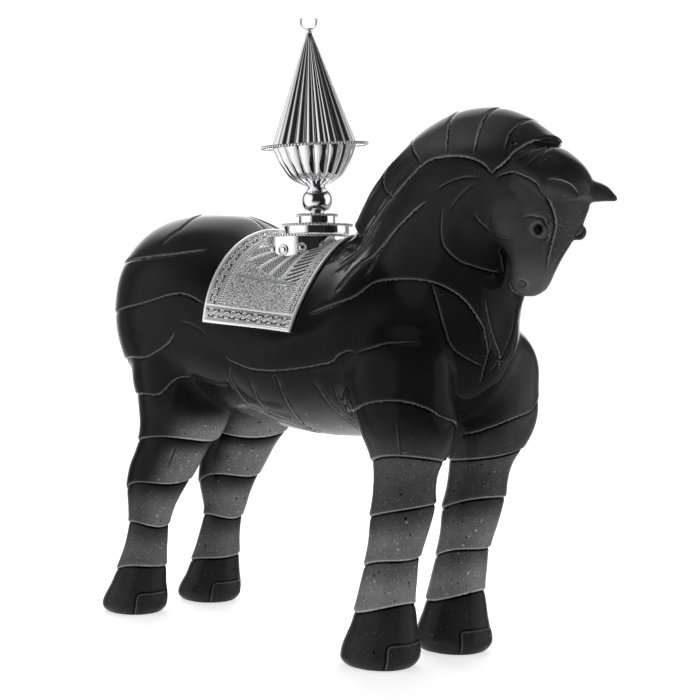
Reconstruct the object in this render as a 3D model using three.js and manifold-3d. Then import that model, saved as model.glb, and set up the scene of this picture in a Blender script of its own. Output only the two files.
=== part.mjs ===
// A cast crystal horse with a silver saddle cloth and a silver cup with a conical lid on its back.
// Millimetres, +Z up. The horse looks along -Y and its left side is +X.
import * as THREE from 'three';
import { LoftGeometry } from 'three/addons/geometries/LoftGeometry.js';
import { mergeVertices } from 'three/addons/utils/BufferGeometryUtils.js';
import Module from 'manifold-3d';

const wasm = await Module();
wasm.setup();

// Driving sizes
const CREST_HEIGHT = 325;        // floor to the top of the arched neck
const TOUCH_GAP = 0.3;           // left between pieces that rest on each other
const CLOTH_THICK = 1.6;         // silver cloth
const GROOVE_DEPTH = 1.3;        // joints between the horse's plates
const GROOVE_WIDTH = 1.8;
const SLIVER = 0.12;             // flatter or narrower faces than this are closed

// The horse is a free form. Its tables are thousandths of the crest height, measured
// s forward of the stance centre, l towards the horse's left and h above the floor.
const PART = CREST_HEIGHT / 1000;

function place(s, l, h) {
  return new THREE.Vector3(l * PART, -s * PART, h * PART);
}

// Smooth values of a table at t: rows start with their own t, and the slope at each row
// is that of the chord between its neighbours.
function sample(table, t) {
  const last = table.length - 1;
  let i = 0;
  while (i < last - 1 && t > table[i + 1][0]) i += 1;
  const slope = (k, c) => {
    const a = table[Math.max(k - 1, 0)];
    const b = table[Math.min(k + 1, last)];
    return (b[c] - a[c]) / (b[0] - a[0]);
  };
  const [from, to] = [table[i], table[i + 1]];
  const span = to[0] - from[0];
  const u = (t - from[0]) / span;
  return from.map((value, c) => {
    const h00 = (1 + 2 * u) * (1 - u) ** 2;
    const h10 = u * (1 - u) ** 2;
    const h01 = u ** 2 * (3 - 2 * u);
    const h11 = u ** 2 * (u - 1);
    return h00 * value + h10 * span * slope(i, c) + h01 * to[c] + h11 * span * slope(i + 1, c);
  });
}

function steps(from, to, count) {
  return Array.from({ length: count + 1 }, (_, i) => from + (to - from) * i / count);
}

const LEAST_SHARE = 0.05;        // of a section's size that an inset always leaves

// One closed cross-section. It spans from the point `low` to the point `high` of the side
// view, and `half` to each side of l. `power` 2 is an ellipse and more is squarer, and
// `egg` narrows it towards `high`.
function section({ high, low, half, l = 0, power = 2, egg = 0, inset = 0, count = 20 }) {
  const centre = [(high[0] + low[0]) / 2, (high[1] + low[1]) / 2];
  const reach = Math.hypot(high[0] - low[0], high[1] - low[1]) / 2;
  const up = [(high[0] - low[0]) / 2 / reach, (high[1] - low[1]) / 2 / reach];
  const tall = Math.max(reach - inset, reach * LEAST_SHARE);
  const wide = Math.max(half - inset, half * LEAST_SHARE);
  const points = [];
  for (let j = 0; j < count; j += 1) {
    const angle = 2 * Math.PI * (j + 0.5) / count;
    const round = (value) => Math.sign(value) * Math.abs(value) ** (2 / power);
    const rise = tall * round(Math.sin(angle));
    const out = wide * round(Math.cos(angle)) * (1 - egg * Math.sin(angle));
    points.push(place(centre[0] + up[0] * rise, l + out, centre[1] + up[1] * rise));
  }
  return points;
}

// A closed geometry as a solid for joins and cuts: only its corners and faces are kept
function solid(geometry) {
  const bare = new THREE.BufferGeometry();
  bare.setAttribute('position', geometry.attributes.position);
  if (geometry.index) bare.setIndex(geometry.index);
  const merged = mergeVertices(bare, 1e-4);
  const index = merged.index.array;
  const kept = [];
  for (let i = 0; i < index.length; i += 3) {
    const [a, b, c] = index.slice(i, i + 3);
    if (a !== b && b !== c && c !== a) kept.push(a, b, c);
  }
  return new wasm.Manifold(new wasm.Mesh({
    numProp: 3,
    vertProperties: Float32Array.from(merged.attributes.position.array),
    triVerts: Uint32Array.from(kept),
  }));
}

function middle(ring) {
  return ring.reduce((sum, point) => sum.add(point), new THREE.Vector3()).divideScalar(ring.length);
}

// A closed loft through rings of points, which are turned so that its faces point out
function loft(rings) {
  const [first, second] = [middle(rings[0]), middle(rings[1])];
  const facing = new THREE.Vector3();
  rings[0].forEach((point, i) => {
    const next = rings[0][(i + 1) % rings[0].length];
    facing.add(point.clone().sub(first).cross(next.clone().sub(first)));
  });
  const outward = facing.dot(second.sub(first)) > 0;
  const ordered = outward ? rings : rings.map((ring) => ring.toReversed());
  return solid(new LoftGeometry(ordered, { capStart: true, capEnd: true }));
}

function join(solids) {
  return solids.reduce((all, next) => all.add(next));
}

// Two near-parallel surfaces can leave a crumb of no volume where they cross
function withoutCrumbs(made) {
  return made.decompose().reduce((most, next) => (next.volume() > most.volume() ? next : most));
}

// TORSO: t is s, then top h, bottom h, half width, squareness, egg
const TORSO = [
  [-458, 690, 610, 45, 2.0, 0.00],
  [-444, 745, 550, 90, 2.1, 0.00],
  [-408, 795, 490, 138, 2.2, 0.00],
  [-350, 830, 448, 170, 2.2, 0.02],
  [-280, 843, 432, 185, 2.2, 0.03],
  [-200, 841, 436, 189, 2.2, 0.04],
  [-120, 827, 430, 189, 2.1, 0.05],
  [-45, 795, 418, 190, 2.1, 0.07],
  [5, 777, 410, 192, 2.0, 0.09],
  [60, 770, 403, 193, 1.95, 0.12],
  [130, 771, 398, 195, 1.8, 0.20],
  [200, 786, 400, 197, 1.65, 0.28],
  [260, 796, 404, 197, 1.7, 0.26],
  [320, 800, 415, 194, 1.85, 0.20],
  [390, 785, 430, 172, 2.0, 0.14],
  [450, 755, 460, 138, 2.0, 0.10],
  [505, 710, 505, 90, 2.0, 0.05],
  [538, 660, 560, 45, 2.0, 0.00],
];

function torso(inset, count = 16, rows = 14) {
  const first = TORSO[0][0];
  const last = TORSO.at(-1)[0];
  // Rows crowd towards the rounded ends
  const at = steps(0, Math.PI, rows).map((a) => first + (last - first) * (1 - Math.cos(a)) / 2);
  return loft(at.map((s) => {
    const [, top, bottom, half, power, egg] = sample(TORSO, s);
    return section({ high: [s, top], low: [s, bottom], half, power, egg, inset, count });
  }));
}

// NECK: t, crest s and h, throat s and h, half width, egg
const NECK = [
  [0, 180, 772, 440, 470, 122, 0.42],
  [1, 225, 838, 495, 530, 132, 0.36],
  [2, 286, 901, 522, 585, 128, 0.28],
  [3, 357, 958, 540, 640, 116, 0.25],
  [4, 440, 995, 548, 700, 104, 0.24],
  [5, 531, 996, 560, 745, 94, 0.20],
  [6, 600, 968, 585, 780, 82, 0.12],
  [7, 645, 925, 610, 810, 62, 0.05],
];

function neck(inset, count = 14, rows = 8) {
  return loft(steps(0, NECK.length - 1, rows).map((t) => {
    const [, s1, h1, s2, h2, half, egg] = sample(NECK, t);
    return section({ high: [s1, h1], low: [s2, h2], half, egg, inset, count });
  }));
}

// HEAD from poll to muzzle: t, face s and h, jaw s and h, half width, squareness
const HEAD = [
  [0, 640, 925, 560, 880, 50, 2.2],
  [1, 680, 899, 547, 842, 65, 2.3],
  [2, 702, 865, 543, 806, 72, 2.4],
  [3, 706, 830, 549, 776, 72, 2.5],
  [4, 694, 796, 561, 753, 66, 2.5],
  [5, 675, 763, 573, 737, 56, 2.4],
  [6, 656, 733, 576, 721, 47, 2.3],
  [7, 643, 709, 572, 705, 42, 2.2],
  [8, 632, 690, 567, 690, 40, 2.2],
  [9, 618, 673, 573, 676, 34, 2.1],
  [10, 606, 665, 588, 667, 16, 2.0],
];

function head(inset, count = 14, rows = 11) {
  return loft(steps(0, HEAD.length - 1, rows).map((t) => {
    const [, s1, h1, s2, h2, half, power] = sample(HEAD, t);
    return section({ high: [s1, h1], low: [s2, h2], half, power, inset, count });
  }));
}

// MANE, a raised band over the crest: t, crest s and h, lower edge s and h, half width
const MANE = [
  [0, 212, 822, 262, 782, 52],
  [1, 256, 878, 312, 824, 70],
  [2, 322, 938, 366, 868, 82],
  [3, 389, 980, 420, 898, 84],
  [4, 461, 1001, 468, 912, 84],
  [5, 531, 1000, 512, 906, 82],
  [6, 594, 979, 552, 890, 78],
  [7, 655, 938, 584, 872, 72],
];

function mane(inset, count = 12, rows = 8) {
  return loft(steps(0, MANE.length - 1, rows).map((t) => {
    const [, s1, h1, s2, h2, half] = sample(MANE, t);
    // The widest point is the band's lower edge, and as much again lies inside the neck
    return section({ high: [s1, h1], low: [2 * s2 - s1, 2 * h2 - h1], half, inset, count });
  }));
}

// FORELOCK, the rounded cap between mane and ears: t, outer s and h, inner s and h, half
const FORELOCK = [
  [0, 640, 930, 560, 880, 66],
  [1, 672, 915, 590, 850, 72],
  [2, 700, 890, 620, 830, 72],
  [3, 718, 858, 650, 812, 62],
  [4, 722, 836, 672, 808, 42],
];

function forelock(inset, count = 12, rows = 4) {
  return loft(steps(0, FORELOCK.length - 1, rows).map((t) => {
    const [, s1, h1, s2, h2, half] = sample(FORELOCK, t);
    return section({ high: [s1, h1], low: [s2, h2], half, inset, count });
  }));
}

// LEGS: t is h, then s, l, half size seen from the front quarter, tilt of the section
const FRONT_LEG = [
  [0, 335, 100, 71, 0.00],
  [12, 336, 100, 68, 0.02],
  [35, 337, 98, 65, 0.06],
  [60, 339, 97, 61.5, 0.12],
  [85, 343, 96, 56, 0.18],
  [110, 345, 96, 52, 0.20],
  [150, 354, 96, 49.5, 0.16],
  [190, 363, 96, 47, 0.12],
  [235, 378, 96, 51, 0.16],
  [280, 389, 96, 55.5, 0.20],
  [320, 396, 99, 53.5, 0.08],
  [360, 403, 101, 56.5, -0.04],
  [390, 409, 103, 68, -0.06],
  [420, 413, 109, 79, -0.04],
  [460, 414, 112, 86, 0.00],
  [510, 408, 112, 84, 0.00],
  [560, 396, 106, 70, 0.00],
];
const FRONT_BANDS = [103, 190, 281, 380];

const HIND_LEG = [
  [0, -391, 103, 69, 0.00],
  [12, -388, 103, 66.5, 0.02],
  [35, -382, 103, 62, 0.05],
  [60, -375, 103, 57.5, 0.08],
  [85, -368, 102, 52.5, 0.10],
  [110, -361, 102, 48.5, 0.10],
  [150, -350, 101, 43.5, 0.10],
  [185, -341, 102, 41.5, 0.10],
  [210, -333, 103, 44.5, 0.10],
  [235, -328, 101, 50.5, 0.10],
  [270, -319, 98, 60.5, 0.05],
  [310, -299, 96, 69, 0.00],
  [350, -272, 95, 72.5, 0.00],
  [385, -247, 92, 82, 0.00],
  [420, -236, 90, 90, 0.00],
  [470, -232, 88, 98, 0.00],
  [530, -236, 84, 92, 0.00],
];
const HIND_BANDS = [96, 190, 272, 368];

// The photograph's view crosses the leg at this much of its depth and of its width
const VIEW_DEPTH = 0.679;
const VIEW_WIDTH = 0.734;
const LEG_STRETCH = 1.12;        // depth of a leg's section over its width
const LEG_POWER = 2.15;
const SQUARE_GAIN = 1.02;        // a squarer section looks this much wider from the quarter
const SOLE_INSET = 3;            // parts: the hoof's lower edge is rounded off
const SOLE_RISE = 9;

function leg(table, bands, side) {
  const notch = GROOVE_WIDTH / 2 / PART;
  const depth = GROOVE_DEPTH / PART;
  const levels = bands.flatMap((h) => [h - notch, h, h + notch]);
  const edges = [0, SOLE_RISE, ...levels, table.at(-1)[0]];
  bands.forEach((h, i) => {
    const below = i ? bands[i - 1] : SOLE_RISE;
    edges.push((below + h) / 2);
  });
  edges.push(...steps(bands.at(-1) + notch, table.at(-1)[0], 3).slice(1, -1));
  return loft(edges.sort((a, b) => a - b).map((h) => {
    const [, s, l, seen, tilt] = sample(table, h);
    const across = SQUARE_GAIN * seen / Math.hypot(VIEW_DEPTH * LEG_STRETCH, VIEW_WIDTH);
    const along = across * LEG_STRETCH;
    const cut = h === 0 ? SOLE_INSET : bands.includes(h) * depth;
    const high = [s + along, h + tilt * along];
    const low = [s - along, h - tilt * along];
    return section({ high, low, half: across, l: side * l, power: LEG_POWER, inset: cut, count: 12 });
  }));
}

// EARS, short leaves that point forward
const EAR = [
  [0, 660, 46, 842, 20],
  [1, 690, 48, 846, 23],
  [2, 722, 50, 841, 17],
  [3, 746, 51, 830, 5],
];

const EAR_FLATNESS = 0.85;       // height of an ear's section over its width

function ear(side) {
  return loft(steps(0, EAR.length - 1, 4).map((t) => {
    const [, s, l, h, half] = sample(EAR, t);
    const tall = half * EAR_FLATNESS;
    return section({ high: [s, h + tall], low: [s, h - tall], half, l: side * l, count: 8 });
  }));
}

// A rounded mass with half sizes along s, l and h
function blob(s, l, h, radii, inset, columns, rows) {
  const [along, across, tall] = radii.map((radius) => (radius - inset) * PART);
  const ball = new THREE.SphereGeometry(1, columns, rows);
  ball.scale(across, along, tall);
  const spot = place(s, l, h);
  ball.translate(spot.x, spot.y, spot.z);
  return solid(ball);
}

const SIDES = [-1, 1];

// The horse without its joints, all its surfaces moved in by `inset` parts
function form(inset) {
  const pieces = [torso(inset), neck(inset), head(inset), mane(inset), forelock(inset)];
  for (const side of SIDES) {
    pieces.push(blob(606, side * 40, 808, [62, 42, 58], inset, 8, 6));      // cheek
    pieces.push(blob(398, side * 118, 520, [112, 82, 110], inset, 9, 6));   // shoulder
    pieces.push(blob(-240, side * 96, 520, [122, 88, 125], inset, 9, 6));   // haunch
  }
  return join(pieces);
}

// JOINTS between the plates in the side view, s and h, cut through to both sides
const JOINTS = [
  [[-480, 722], [-210, 743], [-108, 762]],
  [[-480, 618], [-335, 638], [-170, 668], [-90, 660]],
  [[-480, 530], [-222, 555], [-157, 590]],
  [[-400, 452], [-207, 474], [-163, 506], [-52, 501]],
  [[17, 551], [112, 532], [199, 531], [324, 567], [430, 582]],
  [[65, 538], [52, 500], [8, 396]],
  [[174, 531], [148, 463], [84, 380]],
  [[262, 540], [238, 467], [150, 380]],
  [[217, 638], [296, 650], [390, 692], [473, 689], [530, 630], [520, 530]],
  [[336, 440], [390, 477], [492, 472]],
  [[396, 990], [404, 926], [433, 896]],
  [[470, 1010], [472, 960], [486, 910]],
  [[545, 1010], [543, 952], [551, 900]],
  [[618, 990], [603, 945], [604, 905]],
];

// A thin wall along a side-view line, right through the horse
function curtain(line) {
  const path = line.map(([s, h]) => new THREE.Vector2(s, h));
  const halfWidth = GROOVE_WIDTH / 2 / PART;
  const normals = path.map((point, i) => {
    const ahead = path[Math.min(i + 1, path.length - 1)];
    const behind = path[Math.max(i - 1, 0)];
    const along = ahead.clone().sub(behind).normalize();
    return new THREE.Vector2(-along.y, along.x).multiplyScalar(halfWidth);
  });
  const left = path.map((point, i) => point.clone().add(normals[i]));
  const right = path.map((point, i) => point.clone().sub(normals[i]));
  return sideWall(left.concat(right.toReversed()));
}

const SPAN = 700;                // parts: more than the horse's width

// A side-view outline (s, h) in parts as a solid across the whole width
function sideWall(outline) {
  const geometry = new THREE.ExtrudeGeometry(new THREE.Shape(outline), { depth: SPAN, bevelEnabled: false });
  geometry.translate(0, 0, -SPAN / 2);
  const axes = [new THREE.Vector3(0, -PART, 0), new THREE.Vector3(0, 0, PART), new THREE.Vector3(-PART, 0, 0)];
  geometry.applyMatrix4(new THREE.Matrix4().makeBasis(...axes));
  return solid(geometry);
}

function horse() {
  const grooves = join(JOINTS.map(curtain)).subtract(form(GROOVE_DEPTH / PART));
  const pieces = [form(0).subtract(grooves)];
  for (const side of SIDES) {
    pieces.push(leg(FRONT_LEG, FRONT_BANDS, side), leg(HIND_LEG, HIND_BANDS, side), ear(side));
    pieces.push(blob(668, side * 49, 786, [16, 13, 16], 0, 8, 6));       // eye
  }
  return withoutCrumbs(join(pieces)).simplify(SLIVER);
}

// SADDLE CLOTH, a sheet over the back between these side-view corners (s, h)
const CLOTH_REAR = -52;
const CLOTH_FRONT = [200, 176];      // at the bottom corner and on the withers
const CLOTH_BOTTOM = [617, 600];     // at the rear and at the front corner
const CLOTH_EDGE = 2.6;              // raised border
const CLOTH_EDGE_RISE = 0.6;
const OVER_BACK = 840;               // parts: above the back where the cloth lies

function clothOutline(margin) {
  const [rear, front, top] = [CLOTH_REAR + margin, CLOTH_FRONT[0] - margin, OVER_BACK];
  return sideWall([
    new THREE.Vector2(rear, CLOTH_BOTTOM[0] + margin),
    new THREE.Vector2(front, CLOTH_BOTTOM[1] + margin),
    new THREE.Vector2(CLOTH_FRONT[1] - margin, top),
    new THREE.Vector2(rear, top),
  ]);
}

function saddleCloth() {
  const gap = TOUCH_GAP / PART;
  const inner = form(-gap);
  const field = form(-gap - CLOTH_THICK / PART).intersect(clothOutline(0));
  const border = form(-gap - (CLOTH_THICK + CLOTH_EDGE_RISE) / PART)
    .intersect(clothOutline(0).subtract(clothOutline(CLOTH_EDGE / PART)));
  return withoutCrumbs(field.add(border).subtract(inner));
}

// SILVER CUP and its stand, millimetres
const STAND_S = 67;                  // parts: the cup's place along the back
const COLLAR_S = 45;                 // parts: the collar reaches further back than forward
const COLLAR_RADIUS = 27.3;
const COLLAR_RISE = 5.6;             // top of the collar over the bare back at COLLAR_S
const ROSETTE_RADIUS = 3.7;
const ROSETTE_RISE = 0.8;
const ROSETTE_BURIED = 3.2;          // length of a rosette inside the collar's wall
// Degrees from forward, share of the full size, drop of the middle below the collar's top
const ROSETTES = [[108, 1, 8.8], [82, 1, 8.8], [54, 0.88, 8.0], [24, 0.66, 6.8]];
const COLLAR_BELOW = 30;             // the collar's wall before the cloth cuts it off
const TIERS = [
  { name: 'lower_tier', drum: 21.1, rim: 22.9, height: 6.4 },
  { name: 'upper_tier', drum: 12.0, rim: 13.4, height: 6.2 },
];
const RIM_THICK = 1.1;               // beaded rims of tiers and collar
const RIM_REACH = 0.9;               // of the collar's rim over its wall
const BALL_RADIUS = 9.9;
const BALL_SEAT = 4.5;               // radius of the flat that the ball stands on
const CUP_LEAN = THREE.MathUtils.degToRad(3.75);
const BOWL_WALL = 1.2;
const BOWL_TOP = 35.2;               // over the ball's centre, along the leaning axis
const BOWL_PROFILE = [[6.6, -27.0], [13.4, -23.4], [19.0, -18.6], [23.4, -10.4], [26.9, -1.1]];
                                     // radius, height from the rim
const BOWL_RIM = 34.0;
const BOWL_LOBES = 16;
const LID_RADIUS = 27.3;
const LID_HEIGHT = 71.5;
const LID_FLUTES = 22;
const LID_TIP = 1.6;
const TIP_COLLAR = { radius: 2.5, height: 2.2 };
const LID_BALL_RADIUS = 6.0;
const LID_BALL_SINK = 0.14;          // share of its radius that sits in the tip collar
const FLUTE_VALLEY = 0.94;           // radius in a flute's valley over that on its ridge
const OVERLAP = 1;                   // of joined or cut bodies, so that no two faces coincide

function backHeight(s) {
  return sample(TORSO, s)[1] * PART;
}

// A turned solid from radius and height pairs, the first and the last on the axis
function turnedSolid(profile, sides) {
  const points = profile.map(([r, z]) => new THREE.Vector2(r, z));
  const geometry = new THREE.LatheGeometry(points, sides);
  geometry.rotateX(Math.PI / 2);
  return solid(geometry);
}

// A level ring of two points a flute: every other one lies at `valley` of the radius
function flutedRing(radius, z, flutes, valley) {
  return Array.from({ length: flutes * 2 }, (_, j) => {
    const angle = Math.PI * j / flutes;
    const r = radius * (j % 2 ? 1 : valley);
    return new THREE.Vector3(r * Math.cos(angle), r * Math.sin(angle), z);
  });
}

const collarTop = backHeight(COLLAR_S) + COLLAR_RISE;
const collarCentre = place(COLLAR_S, 0, 0);
const standCentre = place(STAND_S, 0, 0);

function saddleCollar() {
  const bottom = collarTop - COLLAR_BELOW;
  const wall = COLLAR_RADIUS - RIM_REACH;
  const rimBottom = collarTop - RIM_THICK;
  let made = turnedSolid([[0, bottom], [wall, bottom], [wall, rimBottom],
    [COLLAR_RADIUS, rimBottom], [COLLAR_RADIUS, collarTop], [0, collarTop]], 28);
  const length = ROSETTE_BURIED + ROSETTE_RISE;
  for (const side of SIDES) {
    for (const [degrees, size, drop] of ROSETTES) {
      const radius = ROSETTE_RADIUS * size;
      const button = new THREE.CylinderGeometry(radius, radius, length, 8);
      button.translate(0, wall + ROSETTE_RISE - length / 2, 0);
      // The button's axis turns from forward to its own bearing
      button.rotateZ(Math.PI + side * THREE.MathUtils.degToRad(degrees));
      button.translate(0, 0, collarTop - drop);
      made = made.add(solid(button));
    }
  }
  const onCloth = form(-(2 * TOUCH_GAP + CLOTH_THICK) / PART);
  return withoutCrumbs(made.translate(collarCentre.x, collarCentre.y, 0).subtract(onCloth));
}

function tier({ drum, rim, height }, bottom) {
  const top = bottom + height;
  const made = turnedSolid([[0, bottom], [drum, bottom], [drum, top - RIM_THICK],
    [rim, top - RIM_THICK], [rim, top], [0, top]], 24);
  return made.translate(standCentre.x, standCentre.y, 0);
}

function stemBall() {
  const low = -Math.sqrt(BALL_RADIUS ** 2 - BALL_SEAT ** 2);
  const from = Math.asin(low / BALL_RADIUS);
  const arc = steps(from, Math.PI / 2, 6).map((a) => [BALL_RADIUS * Math.cos(a), BALL_RADIUS * Math.sin(a)]);
  arc[arc.length - 1][0] = 0;
  return turnedSolid([[0, low], ...arc], 16);
}

function ballCut(radius, z, detail) {
  const ball = new THREE.SphereGeometry(radius, detail, detail / 2);
  ball.rotateX(Math.PI / 2);
  ball.translate(0, 0, z);
  return solid(ball);
}

function bowl() {
  const ring = (r, z, valley) => flutedRing(r, BOWL_TOP + z, BOWL_LOBES, valley);
  // The foot and the rim are round, the lobes swell between them
  const outer = BOWL_PROFILE.map(([r, z], i) => ring(r, z, i ? FLUTE_VALLEY : 1));
  const rim = [-RIM_THICK, 0].map((z) => ring(BOWL_RIM, z, 1));
  const inside = BOWL_PROFILE.slice(1).map(([r, z]) => ring(r - BOWL_WALL, z + BOWL_WALL, FLUTE_VALLEY));
  return loft([...outer, ...rim]).subtract(loft(inside)).subtract(ballCut(BALL_RADIUS + TOUCH_GAP, 0, 16));
}

const lidBase = BOWL_TOP + TOUCH_GAP;
const lidTop = lidBase + LID_HEIGHT;
const ballHeight = lidTop + TIP_COLLAR.height + LID_BALL_RADIUS * (1 - LID_BALL_SINK);

function coneLid() {
  const slope = (LID_RADIUS - LID_TIP) / LID_HEIGHT;
  const cone = (wall, z) => flutedRing(LID_RADIUS - wall - slope * (z - lidBase), z, LID_FLUTES, FLUTE_VALLEY);
  const hollowTop = lidTop - BOWL_WALL / slope;
  const outer = loft([lidBase, lidTop].map((z) => cone(0, z)));
  const inner = loft([lidBase - OVERLAP, hollowTop].map((z) => cone(BOWL_WALL, z)));
  const { radius, height } = TIP_COLLAR;
  const tip = turnedSolid([[0, lidTop - OVERLAP], [radius, lidTop - OVERLAP], [radius, lidTop + height],
    [0, lidTop + height]], 12);
  const seat = ballCut(LID_BALL_RADIUS + TOUCH_GAP, ballHeight, 14);
  return outer.subtract(inner).add(tip).subtract(seat);
}

const looks = {
  crystal: { color: 0x1b1c1e, roughness: 0.08, metalness: 0.0 },
  silver: { color: 0xd9dadc, roughness: 0.18, metalness: 1.0 },
  clear: { color: 0xf4f7f8, roughness: 0.03, metalness: 0.0 },
};

function mesh(name, made, look) {
  const { vertProperties, triVerts } = made.getMesh();
  const geometry = new THREE.BufferGeometry();
  geometry.setAttribute('position', new THREE.BufferAttribute(vertProperties, 3));
  geometry.setIndex(new THREE.BufferAttribute(triVerts, 1));
  geometry.computeVertexNormals();
  const piece = new THREE.Mesh(geometry, new THREE.MeshStandardMaterial(look));
  piece.name = name;
  return piece;
}

const object = new THREE.Group();
object.add(mesh('horse', horse(), looks.crystal));
object.add(mesh('saddle_cloth', saddleCloth(), looks.silver));
object.add(mesh('saddle_collar', saddleCollar(), looks.silver));

let standTop = collarTop;
for (const size of TIERS) {
  const bottom = standTop + TOUCH_GAP;
  object.add(mesh(size.name, tier(size, bottom), looks.silver));
  standTop = bottom + size.height;
}

const cup = new THREE.Group();
const ballDrop = Math.sqrt(BALL_RADIUS ** 2 - BALL_SEAT ** 2);
cup.position.set(standCentre.x, standCentre.y, standTop + TOUCH_GAP + ballDrop);
object.add(cup);

const ball = mesh('stem_ball', stemBall(), looks.silver);
cup.add(ball);

// The bowl and everything on it lean a little to the horse's right about the ball's centre
const leaning = new THREE.Group();
leaning.rotation.y = -CUP_LEAN;
leaning.add(mesh('bowl', bowl(), looks.silver));
leaning.add(mesh('cone_lid', coneLid(), looks.silver));
leaning.add(mesh('lid_ball', ballCut(LID_BALL_RADIUS, ballHeight, 14), looks.clear));
cup.add(leaning);

// The origin stands under the middle of the object's own box, on the floor
const box = new THREE.Box3().setFromObject(object, true);
const centre = box.getCenter(new THREE.Vector3());
object.position.set(-centre.x, -centre.y, -box.min.z);

export default object;
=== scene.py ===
"""A cast crystal horse with an engraved silver saddle cloth and a lidded silver cup, in Blender."""

# %% [markdown]
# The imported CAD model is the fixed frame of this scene. Its boxes give every size below:
# the horse's crest height is the unit, and the tables of the horse are in thousandths of
# that height, called parts.
# s runs forward along the horse, l towards its left side and h up.

import math

import bmesh
import bpy
import numpy as np
from mathutils.bvhtree import BVHTree
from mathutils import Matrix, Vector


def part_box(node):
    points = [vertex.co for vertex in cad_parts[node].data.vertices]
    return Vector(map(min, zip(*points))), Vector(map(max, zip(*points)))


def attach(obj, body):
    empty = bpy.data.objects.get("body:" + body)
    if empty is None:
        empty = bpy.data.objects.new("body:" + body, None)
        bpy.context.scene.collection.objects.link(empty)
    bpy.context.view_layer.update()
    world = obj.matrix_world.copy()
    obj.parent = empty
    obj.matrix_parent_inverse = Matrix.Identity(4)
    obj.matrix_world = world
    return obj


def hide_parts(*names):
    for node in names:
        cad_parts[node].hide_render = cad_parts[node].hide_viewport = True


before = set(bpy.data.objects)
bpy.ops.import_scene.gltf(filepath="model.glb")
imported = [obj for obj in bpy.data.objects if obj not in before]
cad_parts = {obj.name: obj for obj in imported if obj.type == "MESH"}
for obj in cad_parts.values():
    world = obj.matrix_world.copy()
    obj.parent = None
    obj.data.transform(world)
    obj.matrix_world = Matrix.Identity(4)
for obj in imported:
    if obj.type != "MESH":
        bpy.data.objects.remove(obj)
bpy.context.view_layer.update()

MM = 0.001
HORSE_LOW, HORSE_HIGH = (np.array(corner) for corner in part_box("horse"))
PART = HORSE_HIGH[2] / 1000
EAR_TIP_S = 746
FORWARD_ZERO = HORSE_LOW[1] + EAR_TIP_S * PART
print(f"one part is {PART * 1000:.4f} mm, s = 0 lies at y = {FORWARD_ZERO:.4f} m")


def to_row(points):
    """Parts (s, l, h) to metres: x is l, y is minus s and z is h, each times the size of a part."""
    points = np.asarray(points, float)
    s, l, h = points[..., 0], points[..., 1], points[..., 2]
    return np.stack([l * PART, FORWARD_ZERO - s * PART, h * PART], -1)


def to_parts(points):
    """Metres back to parts (s, l, h), the inverse of to_row."""
    points = np.asarray(points, float)
    x, y, z = points[..., 0], points[..., 1], points[..., 2]
    return np.stack([(FORWARD_ZERO - y) / PART, x / PART, z / PART], -1)


# %% [markdown]
# The photograph was taken with a longish lens from just above the horse's elbow height.
# The camera comes first, because its place decides how every surface catches the light.

# %% Camera
FRAME_PIXELS = 700
FOCAL_PIXELS = 1653
SENSOR_MM = 36
CAMERA_AZIMUTH = math.radians(42.8)     # from straight ahead of the horse to its right
CAMERA_DISTANCE = 3306                  # parts, to the middle of the stance
EYE_LEVEL = 654                         # parts
STANCE_PIXEL = 294                      # image column of the middle of the stance
HORIZON_PIXEL = 303                     # image row of the eye level

camera_data = bpy.data.cameras.new("camera")
camera_data.sensor_width = SENSOR_MM
camera_data.lens = FOCAL_PIXELS / FRAME_PIXELS * SENSOR_MM
camera_data.shift_x = 0.5 - STANCE_PIXEL / FRAME_PIXELS
camera_data.shift_y = HORIZON_PIXEL / FRAME_PIXELS - 0.5
camera_data.clip_start = 0.01
camera = bpy.data.objects.new("camera", camera_data)
ahead = CAMERA_DISTANCE * math.cos(CAMERA_AZIMUTH)
aside = -CAMERA_DISTANCE * math.sin(CAMERA_AZIMUTH)
camera.location = to_row([ahead, aside, EYE_LEVEL])
camera.rotation_euler = (math.pi / 2, 0, -CAMERA_AZIMUTH)
bpy.context.scene.collection.objects.link(camera)
bpy.context.scene.camera = camera
print(f"lens {camera_data.lens:.1f} mm at {tuple(round(v, 3) for v in camera.location)}")

# %% [markdown]
# Every new surface below is a grid of points made by numpy. Two helpers turn such grids
# into mesh objects: one joins rows and columns into quads, the other makes the object.

# %% Mesh helpers


def grid_faces(rows, columns, wrap):
    """Quads of a grid, counted row by row. With wrap the last column meets the first."""
    last = columns if wrap else columns - 1
    row = np.arange(rows - 1)[:, None] * columns
    column = np.arange(last)[None, :]
    after = (column + 1) % columns
    quads = np.stack([row + column, row + after, row + columns + after, row + columns + column], -1)
    return quads.reshape(-1, 4)


def closed_grid(grid):
    """Points, quads and triangles of rows of rings, with a fan from the middle of each end."""
    rows, count = grid.shape[:2]
    points = np.concatenate([grid.reshape(-1, 3), grid[[0, -1]].mean(axis=1)])
    column = np.arange(count)
    after = (column + 1) % count
    last_row = (rows - 1) * count
    first, final = rows * count, rows * count + 1
    start = np.stack([after, column, np.full(count, first)], -1)
    end = np.stack([column + last_row, after + last_row, np.full(count, final)], -1)
    return points, grid_faces(rows, count, True), np.concatenate([start, end])


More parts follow.
